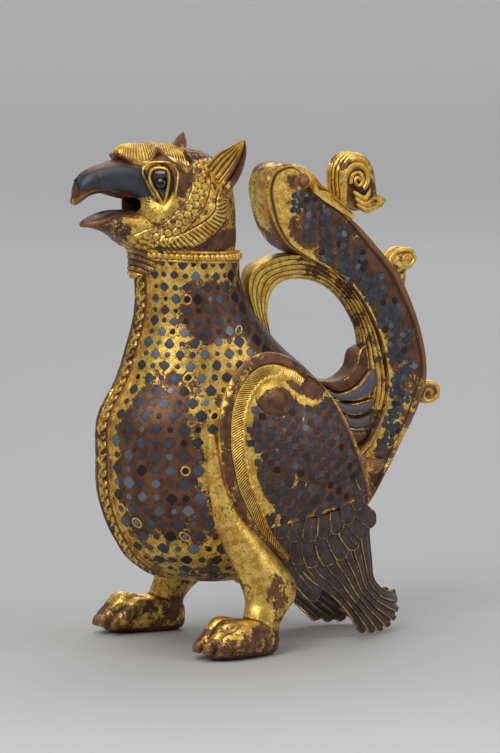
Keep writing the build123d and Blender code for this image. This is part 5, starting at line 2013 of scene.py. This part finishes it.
    def _make_flowers(self) -> None:
        """Four-lobed silver flowers in staggered rows: four petals round a small gap, down both sides."""
        rng = np.random.default_rng(5)
        inner, outer = self._edges(400)
        middle = (inner + outer) / 2
        way = np.concatenate([[0.0], np.cumsum(np.linalg.norm(np.diff(middle, axis=0), axis=1))])
        centres, turns = [], []
        for index, along in enumerate(np.arange(6.0, way[-1] - 14.0, 5.5)):
            i = int(np.interp(along, way, np.arange(len(way))))
            across = outer[i] - inner[i]
            width = np.linalg.norm(across)
            room = 0.48 * width
            count = max(1, round(room / 5.8))
            for k in range(count):
                offset = 0.28 * width + room * (k + (0.26 if index % 2 else 0.74)) / count
                centres.append(inner[i] + across / width * offset)
                turns.append(math.atan2(across[1], across[0]) + rng.normal(0, 0.2))
        centres, turns = np.array(centres), np.array(turns)
        shells = Shells()
        for petal in range(4):
            angle = turns + petal * np.pi / 2 + np.pi / 4 + rng.normal(0, 0.1, len(turns))
            direction = np.stack([np.cos(angle), np.sin(angle)], axis=-1)
            length = rng.normal(1.0, 0.08, len(turns))[:, None]
            centre = centres + direction * 1.56 * length
            sizes = np.array([[1.26, 1.08]]).repeat(len(centres), 0)
            grid, heights = studs(np.zeros((len(centres), 2)), sizes, 12, 2.2, rng)
            side_way = np.stack([-direction[:, 1], direction[:, 0]], axis=-1)
            places = grid[..., :1] * direction[:, None, None] + grid[..., 1:] * side_way[:, None, None]
            places = places + centre[:, None, None]
            tone = np.clip(rng.normal(0.26, 0.25, len(centres)), 0.0, 1.1)
            tone = np.where(rng.random(len(centres)) < 0.06, -1.0, tone)[:, None, None]
            edge = np.broadcast_to(np.array([1.0, 1.0, 0.0])[None, :, None], grid.shape[:3])
            for side in (-1, 1):
                heights_here = np.broadcast_to(heights[None, :, None], grid.shape[:3]) + 0.014 * petal
                y = side * (self.half_thickness - 0.45 + heights_here)
                points = np.stack([places[..., 0], y, places[..., 1]], axis=-1)
                shells.add(points, tone=np.broadcast_to(tone, grid.shape[:3]), edge=edge)
        mesh = shells.mesh("tail_silver")
        finish_piece("tail_silver", mesh, self.finishes.silver, ("tail_inlays",), sharp=80)

    def _make_ring(self) -> None:
        """Finger ring: a ribbed wedge from a tip on the neck round the oval hole and down the tail's inner edge.

        The section is thin at the hole and gets thicker outwards in five rounded steps.
        """
        edges = np.array(self.ring_edges)
        inner, outer = curve(edges[:, 0], 420), curve(edges[:, 1], 420)
        way = np.linspace(0, 1, 420)[:, None]
        share = (1 - np.cos(np.linspace(0, np.pi, 54))) / 2
        share = share[None]
        width = np.linalg.norm(outer - inner, axis=1)[:, None]
        full = 1.0 + 3.8 * ease(way, 0.05, 0.42)
        rib = np.abs(np.sin(np.pi * share * 5)) ** 0.55 * ease(width, 1.0, 4.0)
        thick = 0.75 + (full - 0.75) * share ** 0.9 + 0.34 * rib
        rounded = np.sqrt(np.clip(1 - (1 - np.minimum(share, 1 - share) * width / 0.55) ** 2, 0.02, 1))
        thick = thick * np.where(np.minimum(share, 1 - share) * width < 0.55, rounded, 1.0)
        flat = inner[:, None] * (1 - share[..., None]) + outer[:, None] * share[..., None]
        near = np.stack([flat[..., 0], -thick, flat[..., 1]], axis=-1)
        grid = np.concatenate([near, near[:, ::-1] * (1, -1, 1)], axis=1)
        gilt = 0.36 + 0.34 * ease(way, 0.50, 0.15) + 0.14 * rib + 0.10 * ease(share, 0.7, 1.0)
        shells = Shells()
        shells.add(grid, gilt=np.concatenate([gilt, gilt[:, ::-1]], axis=1))
        mesh = shells.mesh("ribbed_ring")
        finish_piece("ribbed_ring", mesh, self.finishes.ornament, ("handle_ring",))

    def _make_palmette(self) -> None:
        """Leaf of five nested crescents, each a roll between two arcs that meet in points."""
        shells = Shells()
        for index, (upper, lower, half) in enumerate(self.crescents):
            top, low = curve(upper, 100), curve(lower, 100)
            v = ((1 - np.cos(np.linspace(0, np.pi, 30))) / 2)[None]
            flat = top[:, None] * (1 - v[..., None]) + low[:, None] * v[..., None]
            way = np.linspace(0, 1, 100)[:, None]
            roll = np.sqrt(np.clip(1 - (2 * v - 1) ** 2, 0.0, 1.0))
            rims = np.exp(-(((v - 0.86) / 0.07) ** 2)) + np.exp(-(((v - 0.14) / 0.07) ** 2))
            silver = index in (1, 2, 3)
            rise = half * (0.62 + 0.38 * roll ** 0.7) + (0.22 * rims if silver else 0.0) - half * 0.25 * ease(way, 0.85, 1.0)
            near = np.stack([flat[..., 0], -rise, flat[..., 1]], axis=-1)
            grid = np.concatenate([near, near[:, ::-1] * (1, -1, 1)], axis=1)
            gilt = 0.10 + 0.38 * rims + 0.0 * way
            grey = float(silver) * ease(v, 0.16, 0.24) * ease(0.84 - v, 0.0, 0.08) + 0.0 * way
            values = {"gilt": gilt, "silver": grey}
            shells.add(grid, **{key: np.concatenate([a, a[:, ::-1]], axis=1) for key, a in values.items()})
        mesh = shells.mesh("palmette_leaf")
        finish_piece("palmette_leaf", mesh, self.finishes.bare, ("ring_palmette",))

    def _make_rolls(self) -> None:
        """Small rolls across the tail's root: rods swollen in the middle."""
        shells = Shells()
        for side in (-1, 1):
            path = curve(((35.6, side * 6.6, 60.4), (36.4, side * 8.0, 57.4), (39.6, side * 8.4, 56.6), (43.6, side * 7.2, 57.4)), 50)
            way = np.linspace(0, 1, 50)
            radius = 0.7 + 2.2 * np.sin(np.pi * np.clip(way * 0.86 + 0.10, 0, 1)) ** 0.6
            shells.add(tube(path, radius, 28, (0, 0, 1)), gilt=0.35)
        mesh = shells.mesh("root_rolls")
        finish_piece("root_rolls", mesh, self.finishes.ornament, ("tail_root_curls",))

    def _make_volutes(self) -> None:
        """Two curled leaves on the tail's back: a cushion over each outline, with a spiral cord on both sides."""
        for name, outline, line in (
            ("upper_volute", self.upper_volute, self.upper_cord),
            ("lower_volute", self.lower_volute, self.lower_cord),
        ):
            shells = Shells()
            shells.add(pillow(closed_curve(outline, 140), 2.6, 9, 3.0), gilt=0.45)
            flat = curve(line, 150)
            way = np.linspace(0, 1, 150)
            radius = 1.0 - 0.45 * way
            for side in (-1, 1):
                path = np.stack([flat[:, 0], side * (2.2 - 0.2 * way), flat[:, 1]], axis=-1)
                shells.add(tube(path, radius, 16), gilt=0.75)
            mesh = shells.mesh(name + "_leaf")
            finish_piece(name + "_leaf", mesh, self.finishes.ornament, (name,))

    def _make_pin(self) -> None:
        """Hinge pin with a domed head on its left end: a profile turned about the pin's axis."""
        profile = np.array([[0.05, -8.1], [0.9, -8.0], [1.45, -7.5], [1.65, -6.9], [1.6, -6.45], [1.1, -6.4], [1.1, 6.3], [0.05, 6.5]])
        c, s = loop(32)
        x = self.pin[0] + profile[:, :1] * c
        z = self.pin[1] + profile[:, :1] * s
        y = profile[:, 1:] + 0 * x
        shells = Shells()
        shells.add(np.stack([x, y, z], axis=-1), gilt=0.1)
        mesh = shells.mesh("pin_with_head")
        finish_piece("pin_with_head", mesh, self.finishes.bare, ("hinge_pin",))


@dataclass
class Lid:
    """Leaf lid over the filling hole, and the big curled leaf on it. It turns on the pin."""

    finishes: Finishes
    pin: tuple = (13.6, 153.5)
    seat: tuple = ((16.4, 149.9), (33.3, 140.0))
    half_width: float = 6.2
    gap: float = 0.2
    # Way along the seat, and height of the leaf's ridge over it
    dome: Rows = (
        (1.0, 6.6),
        (2.5, 6.0),
        (4.0, 5.2),
        (6.5, 5.0),
        (9.4, 4.7),
        (14.6, 3.9),
        (18.6, 2.8),
        (19.6, 2.3),
    )
    # Middle line of the curled leaf, X and Z
    scroll: Rows = (
        (31.6, 143.6),
        (31.2, 148.6),
        (30.6, 153.0),
        (31.2, 157.4),
        (34.2, 160.4),
        (38.2, 159.8),
        (40.9, 156.0),
        (42.4, 151.0),
        (44.0, 146.8),
        (46.6, 144.6),
        (48.2, 146.4),
    )
    scroll_half: float = 5.4

    def make(self) -> None:
        """Builds the lid and its scroll."""
        self._make_leaf()
        self._make_scroll()

    def _seat_point(self, along: Array, over: Array) -> Array:
        """Points a way along the seat and a height over it, as X and Z."""
        near, far = (np.array(p) for p in self.seat)
        way = unit(far - near)
        up = np.array([-way[1], way[0]])
        return near + way * np.asarray(along)[..., None] + up * np.asarray(over)[..., None]

    def _make_leaf(self) -> None:
        """Domed leaf: across it a flattened half round, with veins that fan from the knuckle."""
        along = np.linspace(1.2, 19.6, 110)[:, None]
        v = np.linspace(-1, 1, 81)[None]
        height = hermite(self.dome, along)[..., 0]
        round_over = np.clip(1 - np.abs(v) ** 2.4, 0, 1) ** 0.55
        fan = v * (0.55 + 0.45 * ease(along, 1.0, 12.0))
        crest = np.abs(np.cos(np.pi * 3.0 * fan)) ** 0.8
        veins = 0.80 * (crest - 0.5) * ease(0.88 - np.abs(v), 0.0, 0.1)
        lip = 1.25 * ease(np.abs(v), 0.80, 0.95)
        over = self.gap + np.maximum(height * round_over + veins, lip + 0.0 * height)
        y = np.broadcast_to(v * self.half_width, over.shape)
        top_flat = self._seat_point(np.broadcast_to(along, over.shape), over)
        low_flat = self._seat_point(np.broadcast_to(along, over.shape), np.full(over.shape, self.gap))
        top = np.stack([top_flat[..., 0], y, top_flat[..., 1]], axis=-1)
        low = np.stack([low_flat[..., 0], y, low_flat[..., 1]], axis=-1)
        shells = Shells()
        gilt = 0.88 - 0.85 * ease(0.62 - crest, 0.0, 0.3) * ease(0.88 - np.abs(v), 0.0, 0.06) + 0.0 * over
        shells.add(np.concatenate([top, low[:, ::-1]], axis=1), gilt=np.concatenate([gilt, gilt], axis=1))
        shells.add(self._knuckle(), gilt=0.8)
        mesh = shells.mesh("lid_leaf")
        finish_piece("lid_leaf", mesh, self.finishes.ornament, ("filler_lid",), Body.LID)

    def _knuckle(self) -> Array:
        """Knuckle on the pin: an arch over it that runs into the leaf, ribbed like it, within the cheeks."""
        path = curve(((9.4, 150.6), (8.4, 153.6), (10.0, 157.3), (13.4, 158.9), (16.8, 158.3), (20.0, 155.8), (22.6, 151.6)), 90)
        low = curve(((10.6, 150.2), (12.0, 151.6), (13.2, 152.2), (14.6, 152.2), (16.6, 151.0), (19.0, 149.4), (21.5, 148.0)), 90)
        v = np.linspace(-1, 1, 41)[None]
        drop = 0.55 * np.abs(v) ** 4 + 0.5 * (1 - np.abs(np.cos(np.pi * 2.0 * v)) ** 0.8)
        out = unit(path - low)
        outer = path[:, None] - out[:, None] * drop[..., None]
        inner = np.broadcast_to(low[:, None], outer.shape)
        y = np.broadcast_to(v * 2.95, outer.shape[:2])
        top = np.stack([outer[..., 0], y, outer[..., 1]], axis=-1)
        foot = np.stack([inner[..., 0], y, inner[..., 1]], axis=-1)
        return np.concatenate([top, foot[:, ::-1]], axis=1)

    def _make_scroll(self) -> None:
        """Curled leaf: a broad ribbed strap over the path, with a spiral cord and ribs on both sides."""
        path = curve(self.scroll, 200)
        way = np.linspace(0, 1, 200)
        wide = self.scroll_half * (0.80 + 0.20 * ease(way, 0.0, 0.2) - 0.62 * ease(way, 0.62, 1.0))
        thick = 1.5 - 0.5 * ease(way, 0.5, 1.0)
        shells = Shells()
        shells.add(strap(path, wide, thick, 96, 5, 0.42), gilt=0.55)
        shells.add(self._web(), gilt=0.0)
        for side in (-1, 1):
            for rank, gilt in enumerate((0.85, 0.2, 0.9)):
                shells.add(self._coil(side, rank), gilt=gilt)
            for rank in range(3):
                shells.add(self._tongue(side, rank), gilt=0.95)
        mesh = shells.mesh("lid_scroll")
        finish_piece("lid_scroll", mesh, self.finishes.ornament, ("thumb_scroll",), Body.LID)

    def _web(self) -> Array:
        """Dished filling inside the curl: a shrunken outline of the curl, thin in the middle."""
        outline = curve(
            ((33.0, 144.6), (32.4, 152.0), (33.0, 157.2), (35.6, 158.8), (38.8, 156.6), (40.6, 151.6), (42.0, 146.0), (38.4, 143.2), (33.0, 144.6)),
            73,
        )[:-1]
        middle = outline.mean(0)
        rows = np.array([-1.0, -0.999, -0.6, -0.3, 0.3, 0.6, 0.999, 1.0])
        share = np.array([0.05, 1.0, 1.0, 1.0, 1.0, 1.0, 1.0, 0.05])
        half = np.array([2.4, 3.2, 3.4, 3.4, 3.4, 3.4, 3.2, 2.4])
        flat = middle + (outline - middle)[None] * share[:, None, None]
        y = np.broadcast_to((rows * half)[:, None], flat.shape[:2])
        return np.stack([flat[..., 0], y, flat[..., 1]], axis=-1)

    def _coil(self, side: int, rank: int) -> Array:
        """Cord round the scroll's eye: its radius shrinks evenly with the angle."""
        turn = np.linspace(0, 1, 110)
        angle = math.radians((205, 170, 200)[rank]) - turn * (0.72, 0.62, 1.6)[rank] * 2 * np.pi
        radius = (5.9, 4.1, 2.9)[rank] * (1 - (0.42, 0.2, 0.85)[rank] * turn)
        x = 36.0 + radius * np.cos(angle) * 0.92
        z = 153.2 + radius * np.sin(angle) * 1.08
        y = side * (4.3 + 0.7 * np.sin(np.pi * turn * 0.7))
        thick = (1.25, 0.6, 0.8)[rank] * (1 - 0.35 * turn)
        return tube(np.stack([x, y, z], axis=-1), thick, 14)

    def _tongue(self, side: int, rank: int) -> Array:
        """Rib of the leaf's tongue, from under the eye out towards the tip."""
        drop = 2.2 * rank
        start = (34.4 + 0.7 * rank, side * 4.4, 149.4 - drop)
        middle = (38.6 + 0.5 * rank, side * (4.6 - 0.3 * rank), 147.0 - 0.9 * drop)
        end = (42.0 + 1.4 * rank, side * 3.2, 150.2 - 1.5 * drop)
        path = curve((start, middle, end), 50)
        way = np.linspace(0, 1, 50)
        return tube(path, 0.45 + 0.62 * np.sin(np.pi * way), 14)


@dataclass
class Studio:
    """Floor, backdrop, lights and camera."""

    azimuth: float = -30.0
    elevation: float = 6.5
    distance: float = 2300.0
    target: tuple = (-3.05, 0.0, 88.6)
    lens: float = 328.8
    grey: tuple = srgb(172, 172, 172)
    # Painted light: lighter grey towards the camera, and near white on the distant floor and backdrop
    near_painted_light: tuple = srgb(191, 191, 191)
    far_painted_light: tuple = srgb(244, 244, 245)

    def back(self) -> Vector:
        """Direction from the target to the camera."""
        a, e = math.radians(self.azimuth), math.radians(self.elevation)
        return Vector((math.sin(a) * math.cos(e), -math.cos(a) * math.cos(e), math.sin(e)))

    def make(self) -> None:
        """Sets the view and builds the stage, the lamps and the camera."""
        bpy.context.scene.view_settings.view_transform = "Standard"
        self._make_stage()
        self._make_world()
        self._make_camera()
        self._make_lamp("key", (-1.15, -0.75, 1.35), 1.1, 16.0)
        self._make_lamp("fill", (0.95, -1.30, 0.75), 1.2, 5.4)
        self._make_lamp("rim", (0.9, 1.1, 1.2), 1.2, 8.0)
        self._make_lamp("top", (0.0, 0.0, 1.9), 1.6, 10.0)

    def _make_stage(self) -> None:
        """Floor that curves up into a round backdrop: a profile turned about the upright axis, with painted light that
        makes it lighter near the camera and far back.
        """
        profile = curve(((1.0, 0.0), (900.0, 0.0), (2600.0, 0.0), (3700.0, 300.0), (4300.0, 1400.0), (4500.0, 3000.0)), 60)
        c, s = loop(72)
        x, y = profile[:, :1] * c, profile[:, :1] * s
        points = np.stack([x, y, profile[:, 1:] + 0 * x], axis=-1)
        mesh = bpy.data.meshes.new("floor")
        faces = ring_quads(60, 72, False)
        mesh.from_pydata((points.reshape(-1, 3) * MM).tolist(), [], faces[: 59 * 72, ::-1].tolist() + [list(range(72))])
        mesh.shade_smooth()
        g = Graph("pale_paper")
        nearness = g.node("ShaderNodeVectorMath", {"operation": "DOT_PRODUCT"}, {0: g.place, 1: (-0.5, -0.866, 0.0)}, "Value")
        colour = g.mix(g.noise(40.0, 3.0) * 0.06, self.grey, srgb(168, 168, 170))
        # Painted light: lighter towards the camera, and far lighter on the distant floor and backdrop
        colour = g.mix(g.step(nearness, 0.0, 0.27), colour, self.near_painted_light)
        colour = g.mix(g.step(nearness * -1.0, 0.9, 3.4), colour, self.far_painted_light)
        mesh.materials.append(g.finish({"Base Color": colour, "Roughness": 0.8 + g.noise(9.0) * 0.1}))
        placed(mesh)

    def _make_world(self) -> None:
        """Even grey light from all round."""
        world = bpy.data.worlds.new("studio")
        world.use_nodes = True
        world.node_tree.nodes["Background"].inputs["Color"].default_value = (1.0, 1.0, 1.0, 1.0)
        world.node_tree.nodes["Background"].inputs["Strength"].default_value = 0.48
        bpy.context.scene.world = world

    def _make_camera(self) -> None:
        """Long lens at the photograph's angle."""
        data = bpy.data.cameras.new("camera")
        data.lens = self.lens
        data.sensor_width = 36.0
        camera = bpy.data.objects.new("camera", data)
        bpy.context.scene.collection.objects.link(camera)
        camera.location = (Vector(self.target) + self.back() * self.distance) * MM
        camera.rotation_euler = self.back().to_track_quat("Z", "Y").to_euler()
        bpy.context.scene.camera = camera

    def _make_lamp(self, name: str, place: tuple, size: float, power: float) -> None:
        """Square soft lamp that faces the vessel."""
        data = bpy.data.lights.new(name, "AREA")
        data.size = size
        data.energy = power
        lamp = bpy.data.objects.new(name, data)
        bpy.context.scene.collection.objects.link(lamp)
        lamp.location = place
        aim = Vector(place) - Vector((0.0, 0.0, 0.08))
        lamp.rotation_euler = aim.to_track_quat("Z", "Y").to_euler()
        lamp.visible_camera = False


def main() -> None:
    """Builds every sub-assembly around the frame."""
    logging.basicConfig(level=logging.INFO, format="%(message)s")
    finishes = Finishes()
    Vessel(finishes).make()
    Head(finishes).make()
    Wing(finishes).make()
    Leg(finishes).make()
    Tail(finishes).make()
    Lid(finishes).make()
    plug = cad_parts["belly_plug"]
    plug.data.materials.clear()
    plug.data.materials.append(finishes.bare)
    Studio().make()


if __name__ == "__main__":
    main()
